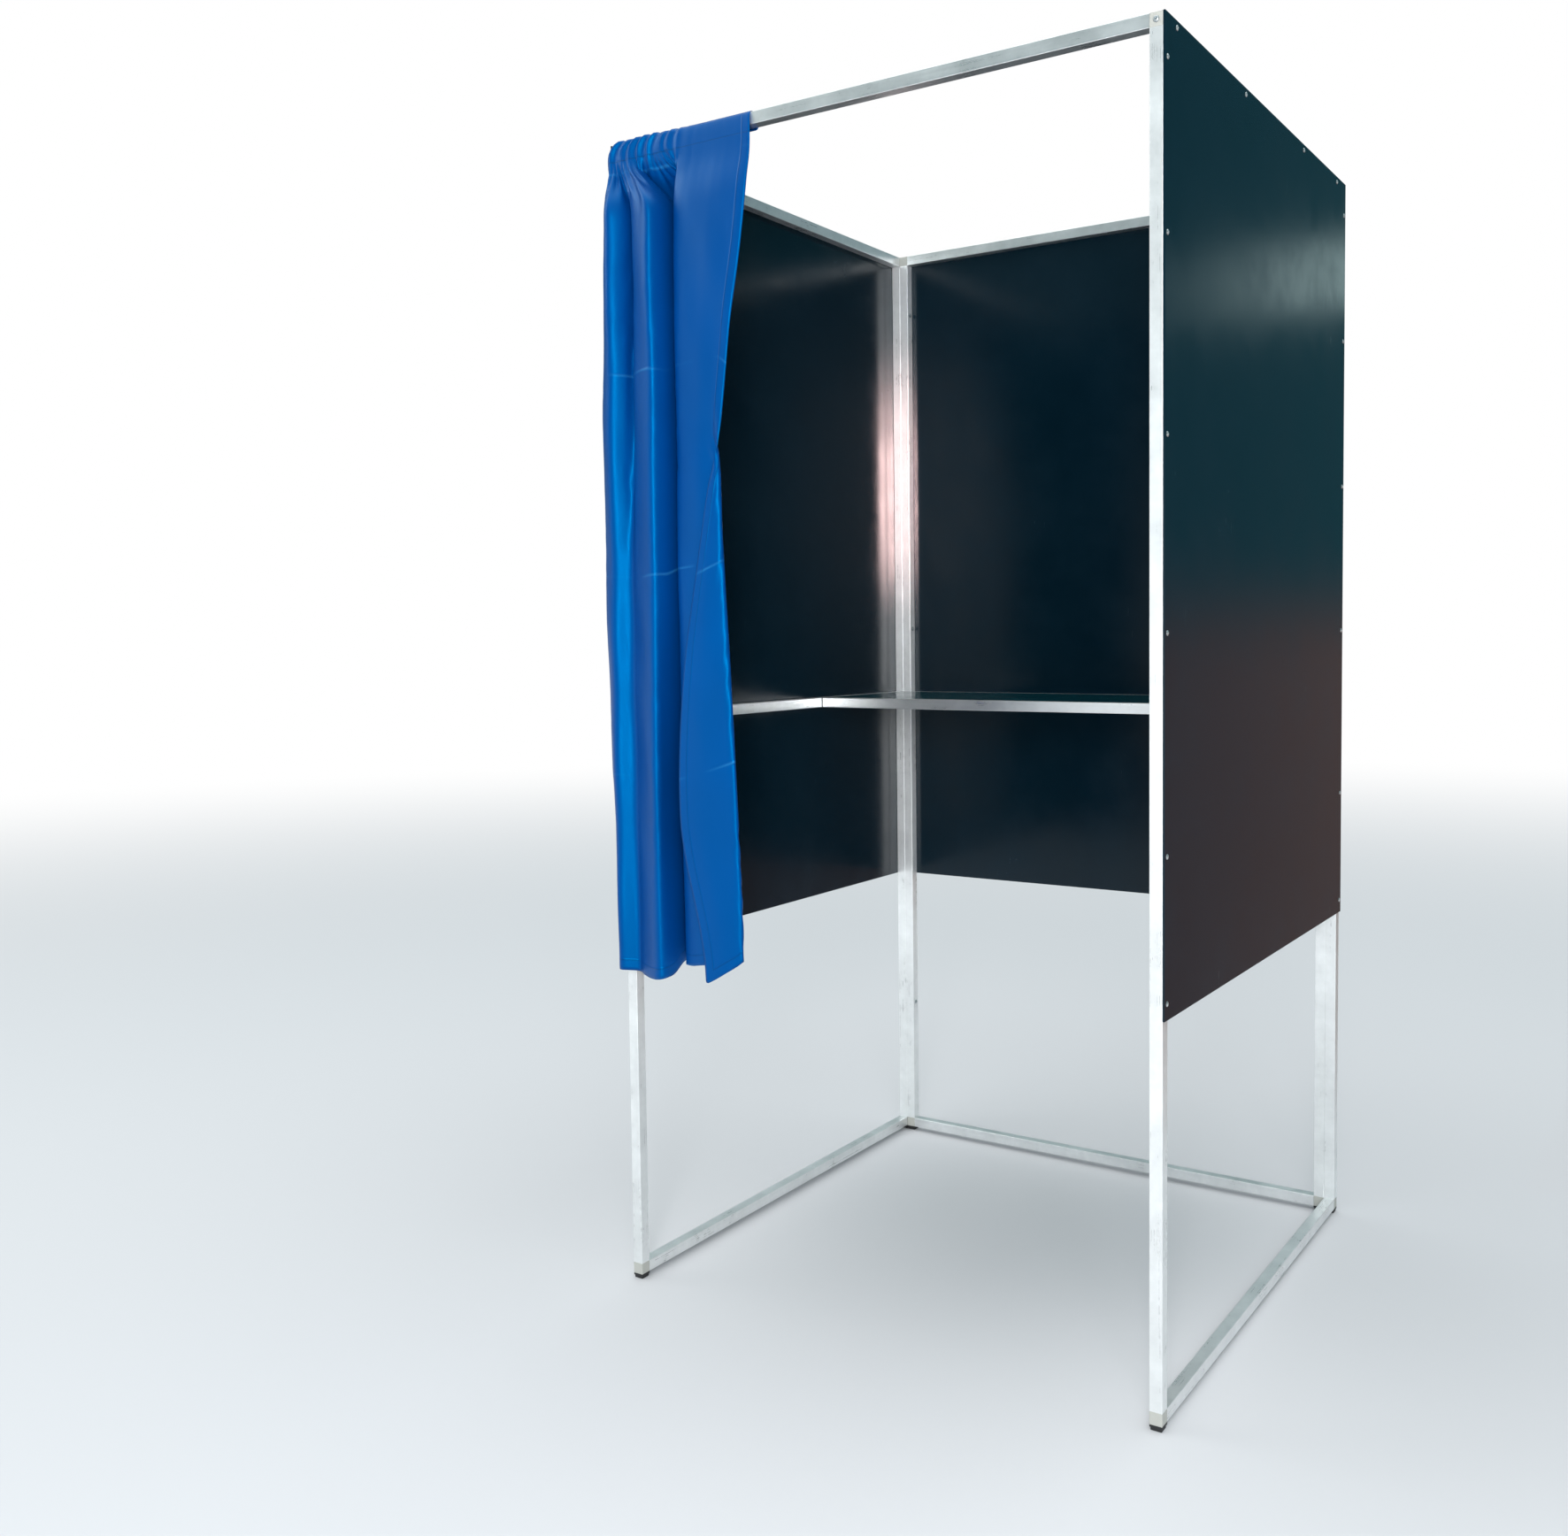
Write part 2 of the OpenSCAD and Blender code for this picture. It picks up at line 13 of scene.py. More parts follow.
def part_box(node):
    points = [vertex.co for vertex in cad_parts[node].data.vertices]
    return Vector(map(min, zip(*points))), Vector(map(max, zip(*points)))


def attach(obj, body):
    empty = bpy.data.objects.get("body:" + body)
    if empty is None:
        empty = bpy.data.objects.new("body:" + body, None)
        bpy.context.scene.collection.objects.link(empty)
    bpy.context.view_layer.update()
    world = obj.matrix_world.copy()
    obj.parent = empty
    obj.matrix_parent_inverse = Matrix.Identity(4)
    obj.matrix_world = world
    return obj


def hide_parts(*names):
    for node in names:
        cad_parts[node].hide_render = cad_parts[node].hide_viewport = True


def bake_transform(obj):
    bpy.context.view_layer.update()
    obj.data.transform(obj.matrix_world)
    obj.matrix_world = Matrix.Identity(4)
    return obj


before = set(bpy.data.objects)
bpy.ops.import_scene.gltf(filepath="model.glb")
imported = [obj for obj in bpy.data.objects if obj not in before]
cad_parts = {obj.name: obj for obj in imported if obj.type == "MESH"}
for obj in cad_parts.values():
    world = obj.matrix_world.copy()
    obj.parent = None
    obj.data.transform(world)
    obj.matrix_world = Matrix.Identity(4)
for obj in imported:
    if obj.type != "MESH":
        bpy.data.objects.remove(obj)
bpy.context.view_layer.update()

bl_info = {
    "name": "Polling booth",
    "version": (1, 0, 0),
    "blender": (4, 5, 0),
    "location": "3D View > Sidebar > Booth",
    "description": "Finishes a polling booth: tube frame, gloss panels, fixings and gathered satin curtain",
    "category": "Object",
}

TUBES_UP = ("left_front_post", "right_front_post", "left_rear_post", "right_rear_post", "back_left_post",
            "back_right_post")
TUBES_ACROSS = ("back_top_rail", "back_mid_rail", "back_base_rail", "curtain_rail", "shelf_rail")
TUBES_BACK = ("left_top_rail", "left_mid_rail", "left_base_rail", "right_top_rail", "right_mid_rail",
              "right_base_rail")
CONNECTORS = ("left_corner_joints", "right_corner_joints", "back_corner_joints", "curtain_corner_joints",
              "top_rail_plugs")
END_PLUGS = ("left_mid_plugs", "right_mid_plugs", "back_mid_plugs", "shelf_rail_plugs")
FEET = ("left_feet", "right_feet", "back_feet")
WALLS = ("left_panel", "right_panel", "back_panel")
CURTAIN_FOLDS = ("curtain_fold_1", "curtain_fold_2", "curtain_fold_3", "curtain_fold_4", "curtain_fold_5",
                 "curtain_lead")

RAIL_LOW, RAIL_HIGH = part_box("curtain_rail")
LEAD_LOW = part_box("curtain_lead")[0]
POST_LOW, POST_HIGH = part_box("left_front_post")
FRONT = RAIL_LOW.y

CAMERA_AT = (1.2456, -2.4175, 1.1548)
CAMERA_TURN = (32.274, 3.141, -0.593)    # degrees to the left, down, and rolled
CAMERA_SHIFT = (-0.05441, -0.03487)
CORNER_LAMP_AT, CORNER_LAMP_AIM = (1.35, -2.7, 1.75), (-0.48, 0.46, 1.5)
CORNER_LAMP_CONE = 9.5                   # degrees
FLOOR_REACH = 300.0                      # so far that its edge never shows


# ---------------------------------------------------------------- settings

class BoothTubes(bpy.types.PropertyGroup):
    """Finish of the square tube frame and its connectors."""
    aluminium: bpy.props.StringProperty(
        name="Aluminium", description="Colour of the mill-finish tube, as sRGB hex", default="#eef0f0")
    connector: bpy.props.StringProperty(
        name="Connector", description="Colour of the corner connectors, as sRGB hex", default="#b4b4ae")
    plug: bpy.props.StringProperty(
        name="Plug", description="Colour of the dark end plugs and feet, as sRGB hex", default="#1b1c1e")
    die_lines: bpy.props.FloatProperty(
        name="Die line spacing", description="Spacing of the fine lines that the extrusion die leaves",
        default=0.0016, min=0.0002, unit="LENGTH")


class BoothWalls(bpy.types.PropertyGroup):
    """Finish of the wall panels and the shelf board."""
    laminate: bpy.props.StringProperty(
        name="Laminate", description="Colour of the gloss black sheet, as sRGB hex", default="#02151f")
    # painted reflection: the shelf's sheet is the panels' laminate, and its lighter, greener colour stands in for
    # the teal its top reflects at a grazing view
    shelf: bpy.props.StringProperty(
        name="Shelf", description="Colour of the shelf's sheet, which is a little greener, as sRGB hex",
        default="#05353b")
    gloss: bpy.props.FloatProperty(
        name="Roughness", description="Roughness of the sheet's gloss face", default=0.2, min=0.0, max=1.0,
        subtype="FACTOR")
    wave: bpy.props.FloatProperty(
        name="Wave length", description="Length of the slight waves of a thin sheet between its rivets",
        default=0.32, min=0.02, unit="LENGTH")


class BoothFixings(bpy.types.PropertyGroup):
    """Sizes of the rivets and screws that show."""
    rivet_dome: bpy.props.FloatProperty(
        name="Rivet dome", description="How far a rivet's head stands off the panel", default=0.0016,
        min=0.0005, unit="LENGTH")
    zinc: bpy.props.StringProperty(
        name="Zinc", description="Colour of the zinc-plated screws and clips, as sRGB hex", default="#b9bdbd")


class BoothCurtain(bpy.types.PropertyGroup):
    """The curtain's cut, cloth and colour."""
    flat_width: bpy.props.FloatProperty(
        name="Flat width", description="Width of the curtain before it is gathered on its rail", default=0.98,
        min=0.3, unit="LENGTH")
    flat_length: bpy.props.FloatProperty(
        name="Flat length", description="Length of the cut, with the rod pocket opened out", default=1.516,
        min=0.3, unit="LENGTH")
    thickness: bpy.props.FloatProperty(
        name="Thickness", description="Thickness of the satin", default=0.0008, min=0.0002, unit="LENGTH")
    hem: bpy.props.FloatProperty(
        name="Hem width", description="Width of the turned and stitched hems", default=0.018, min=0.004,
        unit="LENGTH")
    satin: bpy.props.StringProperty(
        name="Satin", description="Colour of the satin, as sRGB hex", default="#003f86")
    stitch: bpy.props.FloatProperty(
        name="Stitch length", description="Length of one stitch in the hems", default=0.0035, min=0.001,
        unit="LENGTH")
    crease_pitch: bpy.props.FloatProperty(
        name="Crease pitch", description="Distance between the storage creases down the cloth", default=0.345,
        min=0.05, unit="LENGTH")
    guide: bpy.props.FloatProperty(
        name="Guide", description="How firmly the folds are held to the way they were laid", default=0.34,
        min=0.0, max=1.0, subtype="FACTOR")
    settle_frames: bpy.props.IntProperty(
        name="Settling", description="Steps for which the cloth settles before it is kept", default=28,
        min=1, max=120)


class BoothStage(bpy.types.PropertyGroup):
    """The plain studio round the booth."""
    floor: bpy.props.StringProperty(
        name="Floor", description="Colour of the plain floor, as sRGB hex", default="#c9c9cc")
    front: bpy.props.FloatProperty(
        name="Front light", description="Power of the long low light that the front posts mirror, in watts",
        default=20.0, min=0.0)
    key: bpy.props.FloatProperty(
        name="Key light", description="Power of the high soft light at the left, in watts", default=36.0,
        min=0.0)
    fill: bpy.props.FloatProperty(
        name="Fill light", description="Power of the soft light beside the camera, in watts", default=70.0,
        min=0.0)
    rear: bpy.props.FloatProperty(
        name="Rear light", description="Power of the faint light that the right wall mirrors, in watts",
        default=1.2, min=0.0)
    strip: bpy.props.FloatProperty(
        name="Strip light", description="Power of the upright light that the curtain mirrors, in watts",
        default=70.0, min=0.0)
    corner: bpy.props.FloatProperty(
        name="Corner light", description="Power of the lamp on the rear left corner, in watts",
        default=1200.0, min=0.0)
    ceiling: bpy.props.FloatProperty(
        name="Ceiling", description="Brightness of the soft light overhead", default=2.2, min=0.0)
    horizon: bpy.props.FloatProperty(
        name="Horizon", description="Brightness of the room at eye level", default=0.3, min=0.0)
    lens: bpy.props.FloatProperty(
        name="Lens", description="Focal length on a 36 mm sensor, in millimetres", default=33.616,
        min=10.0)


SETTINGS = {"booth_tubes": BoothTubes, "booth_walls": BoothWalls, "booth_fixings": BoothFixings,
            "booth_curtain": BoothCurtain, "booth_stage": BoothStage}


# ---------------------------------------------------------------- materials

def linear(hex_colour):
    """An sRGB hex colour as a linear colour with full alpha."""
    parts = [int(hex_colour[i:i + 2], 16) / 255 for i in (1, 3, 5)]
    return tuple(c / 12.92 if c <= 0.04045 else ((c + 0.055) / 1.055) ** 2.4 for c in parts) + (1.0,)


def add(tree, kind, sockets=(), **settings):
    """Adds a node with its settings, and sets or links its inputs. A node stands for its first output."""
    made = tree.nodes.new(kind)
    for name, value in settings.items():
        setattr(made, name, value)
    for key, value in dict(sockets).items():
        value = value.outputs[0] if isinstance(value, bpy.types.Node) else value
        if isinstance(value, bpy.types.NodeSocket):
            tree.links.new(value, made.inputs[key])
        else:
            made.inputs[key].default_value = value
    return made


def start(name):
    """A new material with an empty node tree."""
    material = bpy.data.materials.new(name)
    material.use_nodes = True
    material.node_tree.nodes.clear()
    return material, material.node_tree


def close(tree, shader):
    """Links a finished shader to the material's output."""
    add(tree, "ShaderNodeOutputMaterial", {"Surface": shader})


def mill_finish_aluminium(name, along, film):
    """Extruded aluminium tube as it leaves the die: bright and satin, with faint lines along its length that
    stretch highlights across it, and a whitish film of oxide with cloudy marks, which scatters light."""
    tubes = bpy.context.scene.booth_tubes
    material, tree = start(name)
    place = add(tree, "ShaderNodeTexCoord").outputs["Object"]
    fine = 1 / tubes.die_lines          # real lines are about 0.3 mm apart, drawn coarser so that they show
    stretch = [fine, fine, fine]
    stretch[along] = 3.0                # a line keeps its depth for about a third of a metre
    lines = add(tree, "ShaderNodeTexNoise",
                {"Vector": add(tree, "ShaderNodeMapping", {"Vector": place, "Scale": stretch}),
                 "Scale": 1.0, "Detail": 2.0, "Roughness": 0.6})
    marks = add(tree, "ShaderNodeTexNoise",
                {"Vector": place, "Scale": 14.0, "Detail": 4.0, "Roughness": 0.65})
    both = add(tree, "ShaderNodeMath", {0: lines.outputs["Fac"], 1: marks.outputs["Fac"]}, operation="ADD")
    rough = add(tree, "ShaderNodeMapRange", {"Value": both, "From Min": 0.6, "From Max": 1.4,
                                             "To Min": 0.24, "To Max": 0.42})
    tone = add(tree, "ShaderNodeMapRange", {"Value": marks.outputs["Fac"], "From Min": 0.3, "From Max": 0.7,
                                            "To Min": 0.0, "To Max": 1.0})
    base = linear(tubes.aluminium)
    dull = tuple(c * 0.82 for c in base[:3]) + (1.0,)
    colour = add(tree, "ShaderNodeMixRGB", {"Fac": tone, "Color1": dull, "Color2": base})
    bump = add(tree, "ShaderNodeBump", {"Height": lines.outputs["Fac"], "Strength": 0.12, "Distance": 0.0004})
    close(tree, add(tree, "ShaderNodeBsdfPrincipled",
                    {"Base Color": colour, "Metallic": 1.0 - film, "Roughness": rough,
                     "Normal": bump}))
    return material


def moulded_nylon(name, colour, rough):
    """Glass-filled nylon from a spark-eroded mould: matt, with a fine grain and rubbed patches."""
    material, tree = start(name)
    place = add(tree, "ShaderNodeTexCoord").outputs["Object"]
    # spark grain is about 0.15 mm, drawn at 0.9 mm so that it shows
    grain = add(tree, "ShaderNodeTexNoise", {"Vector": place, "Scale": 1100.0, "Detail": 2.0})
    rubbed = add(tree, "ShaderNodeTexNoise", {"Vector": place, "Scale": 45.0, "Detail": 3.0})
    roughness = add(tree, "ShaderNodeMapRange",
                    {"Value": rubbed.outputs["Fac"], "From Min": 0.35, "From Max": 0.65,
                     "To Min": rough - 0.1, "To Max": rough + 0.08})
    base = linear(colour)
    worn = tuple(c * 0.85 for c in base[:3]) + (1.0,)
    tone = add(tree, "ShaderNodeMixRGB", {"Fac": rubbed.outputs["Fac"], "Color1": worn, "Color2": base})
    bump = add(tree, "ShaderNodeBump", {"Height": grain.outputs["Fac"], "Strength": 0.25, "Distance": 0.0003})
    close(tree, add(tree, "ShaderNodeBsdfPrincipled",
                    {"Base Color": tone, "Roughness": roughness, "IOR": 1.53,
                     "Normal": bump}))
    return material


def black_gloss_laminate(name, colour, gloss):
    """High-pressure laminate with a gloss face: nearly black with a cold teal cast, mirror-like but soft, its
    reflections drawn out by the slight waves of a thin sheet, with hair scratches and a little dust."""
    walls = bpy.context.scene.booth_walls
    material, tree = start(name)
    place = add(tree, "ShaderNodeTexCoord").outputs["Object"]
    wave = add(tree, "ShaderNodeTexNoise", {"Vector": place, "Scale": 1 / walls.wave, "Detail": 1.0})
    # pressing texture of about 1.2 mm, the orange peel of a gloss sheet
    peel = add(tree, "ShaderNodeTexNoise", {"Vector": place, "Scale": 800.0, "Detail": 1.0})
    dust = add(tree, "ShaderNodeTexNoise", {"Vector": place, "Scale": 6.0, "Detail": 6.0, "Roughness": 0.7})
    # hair scratches are 0.1 mm wide, drawn at about 2 mm and faint
    scratch_place = add(tree, "ShaderNodeMapping", {"Vector": place, "Rotation": (0.9, 0.7, 0.5),
                                                    "Scale": (420.0, 420.0, 14.0)})
    scratch = add(tree, "ShaderNodeTexNoise", {"Vector": scratch_place, "Scale": 1.0, "Detail": 1.0})
    hair = add(tree, "ShaderNodeMapRange",
               {"Value": scratch.outputs["Fac"], "From Min": 0.68, "From Max": 0.78, "To Max": 0.03})
    film = add(tree, "ShaderNodeMapRange", {"Value": dust.outputs["Fac"], "From Min": 0.35, "From Max": 0.75,
                                            "To Min": gloss - 0.03, "To Max": gloss + 0.09})
    rough = add(tree, "ShaderNodeMath", {0: film, 1: hair}, operation="ADD")
    base = linear(colour)
    dusty = tuple(c * 1.7 + 0.001 for c in base[:3]) + (1.0,)
    tone = add(tree, "ShaderNodeMixRGB", {"Fac": dust.outputs["Fac"], "Color1": base, "Color2": dusty})
    slow = add(tree, "ShaderNodeBump", {"Height": wave.outputs["Fac"], "Strength": 0.09, "Distance": 0.004})
    fine = add(tree, "ShaderNodeBump", {"Height": peel.outputs["Fac"], "Strength": 0.06, "Distance": 0.0004,
                                        "Normal": slow})
    close(tree, add(tree, "ShaderNodeBsdfPrincipled",
                    {"Base Color": tone, "Roughness": rough, "IOR": 1.48,
                     "Specular IOR Level": 0.24, "Normal": fine}))
    return material


def bright_rivet_aluminium(name):
    """Drawn aluminium of blind rivets: brighter and smoother than the tube, with dull scuffs."""
    material, tree = start(name)
    place = add(tree, "ShaderNodeTexCoord").outputs["Object"]
    scuff = add(tree, "ShaderNodeTexNoise", {"Vector": place, "Scale": 420.0, "Detail": 3.0})
    rough = add(tree, "ShaderNodeMapRange", {"Value": scuff.outputs["Fac"], "To Min": 0.16, "To Max": 0.42})
    tone = add(tree, "ShaderNodeMixRGB", {"Fac": scuff.outputs["Fac"], "Color1": linear("#b9bcbe"),
                                          "Color2": linear("#eceeee")})
    close(tree, add(tree, "ShaderNodeBsdfPrincipled",
                    {"Base Color": tone, "Metallic": 1.0, "Roughness": rough}))
    return material


def zinc_plated_steel(name):
    """Bright zinc plating on cold-formed steel: cool grey with a faint spangle and duller hollows."""
    fixings = bpy.context.scene.booth_fixings
    material, tree = start(name)
    place = add(tree, "ShaderNodeTexCoord").outputs["Object"]
    # plating crystals of about 2 mm
    spangle = add(tree, "ShaderNodeTexVoronoi", {"Vector": place, "Scale": 500.0})
    rough = add(tree, "ShaderNodeMapRange",
                {"Value": spangle.outputs["Distance"], "To Min": 0.22, "To Max": 0.45})
    base = linear(fixings.zinc)
    cool = (base[0] * 0.8, base[1] * 0.86, base[2] * 0.92, 1.0)
    tone = add(tree, "ShaderNodeMixRGB", {"Fac": spangle.outputs["Distance"], "Color1": cool, "Color2": base})
    close(tree, add(tree, "ShaderNodeBsdfPrincipled",
                    {"Base Color": tone, "Metallic": 1.0, "Roughness": rough}))
    return material


def polyester_satin(name):
    """Royal blue polyester satin: long floats give a soft gloss down the folds, with a fine twill line, hems
    of double thickness with a row of stitches, and faint creases from the way it was folded in its bag."""
    curtain = bpy.context.scene.booth_curtain
    material, tree = start(name)
    flat = add(tree, "ShaderNodeUVMap", uv_map="Flat")
    # threads are 0.15 mm apart, drawn at 1.2 mm so that the weave shows close up
    weave = add(tree, "ShaderNodeTexWave",
                {"Vector": add(tree, "ShaderNodeMapping", {"Vector": flat, "Rotation": (0.0, 0.0, 0.9)}),
                 "Scale": 260.0, "Distortion": 0.6, "Detail": 1.0})
    slub = add(tree, "ShaderNodeTexNoise",
               {"Vector": add(tree, "ShaderNodeMapping", {"Vector": flat, "Scale": (900.0, 22.0, 1.0)}),
                "Scale": 1.0, "Detail": 2.0})
    cloud = add(tree, "ShaderNodeTexNoise", {"Vector": flat, "Scale": 5.0, "Detail": 2.0})
    apart = add(tree, "ShaderNodeSeparateXYZ", {0: flat})
    across, along = apart.outputs["X"], apart.outputs["Y"]
    side = add(tree, "ShaderNodeMath", {0: across, 1: curtain.flat_width / 2}, operation="PINGPONG")
    edge = add(tree, "ShaderNodeMath", {0: side, 1: along}, operation="MINIMUM")
    hem = add(tree, "ShaderNodeMapRange", {"Value": edge, "From Min": curtain.hem + 0.001,
                                           "From Max": curtain.hem + 0.003})
    # the thread is 0.3 mm thick, drawn at 1.6 mm so that its rows show
    row = add(tree, "ShaderNodeMath", {0: edge, 1: curtain.hem, 2: 0.0008}, operation="COMPARE")
    seam = add(tree, "ShaderNodeMath", {0: along, 1: curtain.flat_length - POCKET_RUN - 0.004, 2: 0.0008},
               operation="COMPARE")
    rows = add(tree, "ShaderNodeMath", {0: row, 1: seam}, operation="MAXIMUM")
    walk = add(tree, "ShaderNodeMath", {0: across, 1: along}, operation="ADD")
    beat = add(tree, "ShaderNodeMath", {0: walk, 1: curtain.stitch}, operation="DIVIDE")
    step = add(tree, "ShaderNodeMath", {0: beat}, operation="FRACT")
    down = add(tree, "ShaderNodeMath", {0: step, 1: 0.3}, operation="GREATER_THAN")
    thread = add(tree, "ShaderNodeMath", {0: rows, 1: down}, operation="MULTIPLY")
    # storage creases lie a third of a metre apart down the cut, each about 8 mm wide
    packed = add(tree, "ShaderNodeMath", {0: along, 1: curtain.crease_pitch / 2}, operation="PINGPONG")
    crease = add(tree, "ShaderNodeMapRange", {"Value": packed, "From Max": 0.004, "To Min": 1.0,
                                              "To Max": 0.0}, interpolation_type="SMOOTHSTEP")
    patch = add(tree, "ShaderNodeMapRange",
                {"Value": cloud.outputs["Fac"], "From Min": 0.45, "From Max": 0.6})
    # patches of the creases: they dent the cloth through the bump below, and they also carry the painted sheen
    worn = add(tree, "ShaderNodeMath", {0: crease, 1: patch}, operation="MULTIPLY")
    base = linear(curtain.satin)
    deep = tuple(c * 0.78 for c in base[:3]) + (1.0,)
    tone = add(tree, "ShaderNodeMixRGB", {"Fac": cloud.outputs["Fac"], "Color1": deep, "Color2": base})
    # painted sheen: the creases are tinted toward light cyan, the colour of the satin's highlights, as if each
    # crease caught the light
    rubbed = add(tree, "ShaderNodeMath", {0: worn, 1: 0.25}, operation="MULTIPLY")
    crease_sheen_tone = add(tree, "ShaderNodeMixRGB", {"Fac": rubbed, "Color1": tone,
                                           "Color2": linear("#3d9ad2")})
    sewn = add(tree, "ShaderNodeMixRGB", {"Fac": thread, "Color1": crease_sheen_tone, "Color2": linear("#002d66")})
    rough = add(tree, "ShaderNodeMapRange", {"Value": slub.outputs["Fac"], "From Min": 0.3, "From Max": 0.7,
                                             "To Min": 0.36, "To Max": 0.48})
    height = add(tree, "ShaderNodeMath", {0: weave.outputs["Fac"], 1: slub.outputs["Fac"]}, operation="ADD")
    bump = add(tree, "ShaderNodeBump", {"Height": height, "Strength": 0.1, "Distance": 0.0003})
    raised = add(tree, "ShaderNodeMath", {0: worn, 1: hem}, operation="SUBTRACT")
    pulled = add(tree, "ShaderNodeMath", {0: raised, 1: thread}, operation="SUBTRACT")
    thick = add(tree, "ShaderNodeBump", {"Height": pulled, "Strength": 0.6, "Distance": 0.0009,
                                         "Normal": bump})
    close(tree, add(tree, "ShaderNodeBsdfPrincipled",
                    {"Base Color": sewn, "Roughness": rough, "IOR": 1.5,
                     "Specular IOR Level": 1.0, "Specular Tint": linear("#00b4ff"), "Normal": thick}))
    return material


def plain_floor(name):
    """Pale seamless floor of a studio: matt, all but flat in colour."""
    material, tree = start(name)
    place = add(tree, "ShaderNodeTexCoord").outputs["Object"]
    cloud = add(tree, "ShaderNodeTexNoise", {"Vector": place, "Scale": 0.6, "Detail": 2.0})
    base = linear(bpy.context.scene.booth_stage.floor)
    soft = tuple(c * 0.985 for c in base[:3]) + (1.0,)
    tone = add(tree, "ShaderNodeMixRGB", {"Fac": cloud.outputs["Fac"], "Color1": soft, "Color2": base})
    matt = add(tree, "ShaderNodeBsdfPrincipled",
               {"Base Color": tone, "Roughness": 0.85, "Specular IOR Level": 0.2})
    # some metres away the flat floor turns to an even white glow, where it melts into the white backdrop
    reach = add(tree, "ShaderNodeVectorMath", {0: place}, operation="LENGTH").outputs["Value"]
    far = add(tree, "ShaderNodeMapRange", {"Value": reach, "From Min": 2.5, "From Max": 11.0},
              interpolation_type="SMOOTHSTEP")
    glow = add(tree, "ShaderNodeEmission", {"Color": linear("#ffffff"), "Strength": 1.0})
    close(tree, add(tree, "ShaderNodeMixShader", {0: far, 1: matt, 2: glow}))
    return material


def glowing_cove(name):
    """Dimly glowing cove that the right wall mirrors, seen in no other way: a painted reflection of a cool wall
    above a warm floor.
    """
    material, tree = start(name)
    place = add(tree, "ShaderNodeTexCoord").outputs["Object"]
    height = add(tree, "ShaderNodeSeparateXYZ", {0: place}).outputs["Z"]
    up = add(tree, "ShaderNodeMapRange", {"Value": height, "From Min": 1.0, "From Max": 1.5},
             interpolation_type="SMOOTHSTEP")
    tone = add(tree, "ShaderNodeMixRGB",
               {"Fac": up, "Color1": linear("#8a7068"), "Color2": linear("#33656f")})
    close(tree, add(tree, "ShaderNodeEmission", {"Color": tone, "Strength": 1.0}))
    return material


# ---------------------------------------------------------------- helpers for pieces

def paint(names, material):
    """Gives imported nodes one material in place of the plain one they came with."""
    for name in names:
        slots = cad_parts[name].data.materials
        slots.clear()
        slots.append(material)


def solids_of(node):
    """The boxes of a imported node's separate solids, as (lowest corner, highest corner), from low to high."""
    bm = bmesh.new()
    bm.from_mesh(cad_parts[node].data)
    bmesh.ops.remove_doubles(bm, verts=bm.verts[:], dist=1e-6)
    left, boxes = set(bm.verts), []
    while left:
        reached, edge = set(), [left.pop()]
        while edge:
            vert = edge.pop()
            reached.add(vert)
            near = {e.other_vert(vert) for e in vert.link_edges} - reached
            edge.extend(near & left)
            left -= near
        low = Vector(min(v.co[i] for v in reached) for i in range(3))
        high = Vector(max(v.co[i] for v in reached) for i in range(3))
        boxes.append((low, high))
    bm.free()
    return sorted(boxes, key=lambda box: (round(box[0].z, 4), round(box[0].x, 4), round(box[0].y, 4)))


def hexagon(angle, across):
    """Distance from the centre to a hexagon's edge, for its width across flats."""
    turn = (angle + math.pi / 6) % (math.pi / 3) - math.pi / 6
    return across / 2 / math.cos(turn)


def rim_of(ring):
    """The edges that join the points of a ring."""
    return [e for e in {e for v in ring for e in v.link_edges} if set(ring).issuperset(e.verts)]


def turned(bm, rings, place, sides=24, hexagons=0):
    """Adds a closed shape that is turned round Z from rings of (radius, height), and puts it in place.

    The first few rings may be hexagons, whose radius is half their width across flats."""
    ring = bmesh.ops.create_circle(bm, segments=sides, radius=1.0, cap_ends=False)["verts"]
    made = []
    for number, (radius, height) in enumerate(rings):
        if number:
            grown = bmesh.ops.extrude_edge_only(bm, edges=rim_of(ring))["geom"]
            ring = [g for g in grown if isinstance(g, bmesh.types.BMVert)]
        for v in ring:
            angle = math.atan2(v.co.y, v.co.x)
            reach = hexagon(angle, radius * 2) if number < hexagons else radius
            v.co = Vector((math.cos(angle) * reach, math.sin(angle) * reach, height))
        made.extend(ring)
        if number in (0, len(rings) - 1):
            bmesh.ops.contextual_create(bm, geom=rim_of(ring))
    bmesh.ops.recalc_face_normals(bm, faces=list({f for v in made for f in v.link_faces}))
    bmesh.ops.transform(bm, matrix=place, verts=made)


def facing(direction, point):
    """The place of a turned shape whose axis points in a direction, at a point."""
    return Matrix.Translation(point) @ Vector(direction).to_track_quat("Z", "Y").to_matrix().to_4x4()


def object_of(name, bm, *materials):
    """Makes an object of a finished bmesh, at the origin."""
    mesh = bpy.data.meshes.new(name)
    bm.to_mesh(mesh)
    bm.free()
    for material in materials:
        mesh.materials.append(material)
    made = bpy.data.objects.new(name, mesh)
    bpy.context.scene.collection.objects.link(made)
    return made


def keep_piece(name, bm, material, smooth_angle=35.0):
    """Makes a piece of a finished bmesh, with smooth faces and crisp edges."""
    piece = object_of(name, bm, material)
    piece.data.shade_smooth()
    piece.data.set_sharp_from_angle(angle=math.radians(smooth_angle))
    return piece


def between(height, stops):
    """Smooth value at a height, from a few (height, value) stops that run from the top down."""
    knots = [stops[0][0] - z for z, _ in stops]
    return spline(knots, [(value, 0.0) for _, value in stops], stops[0][0] - height)[0]


# ---------------------------------------------------------------- the curtain's drape

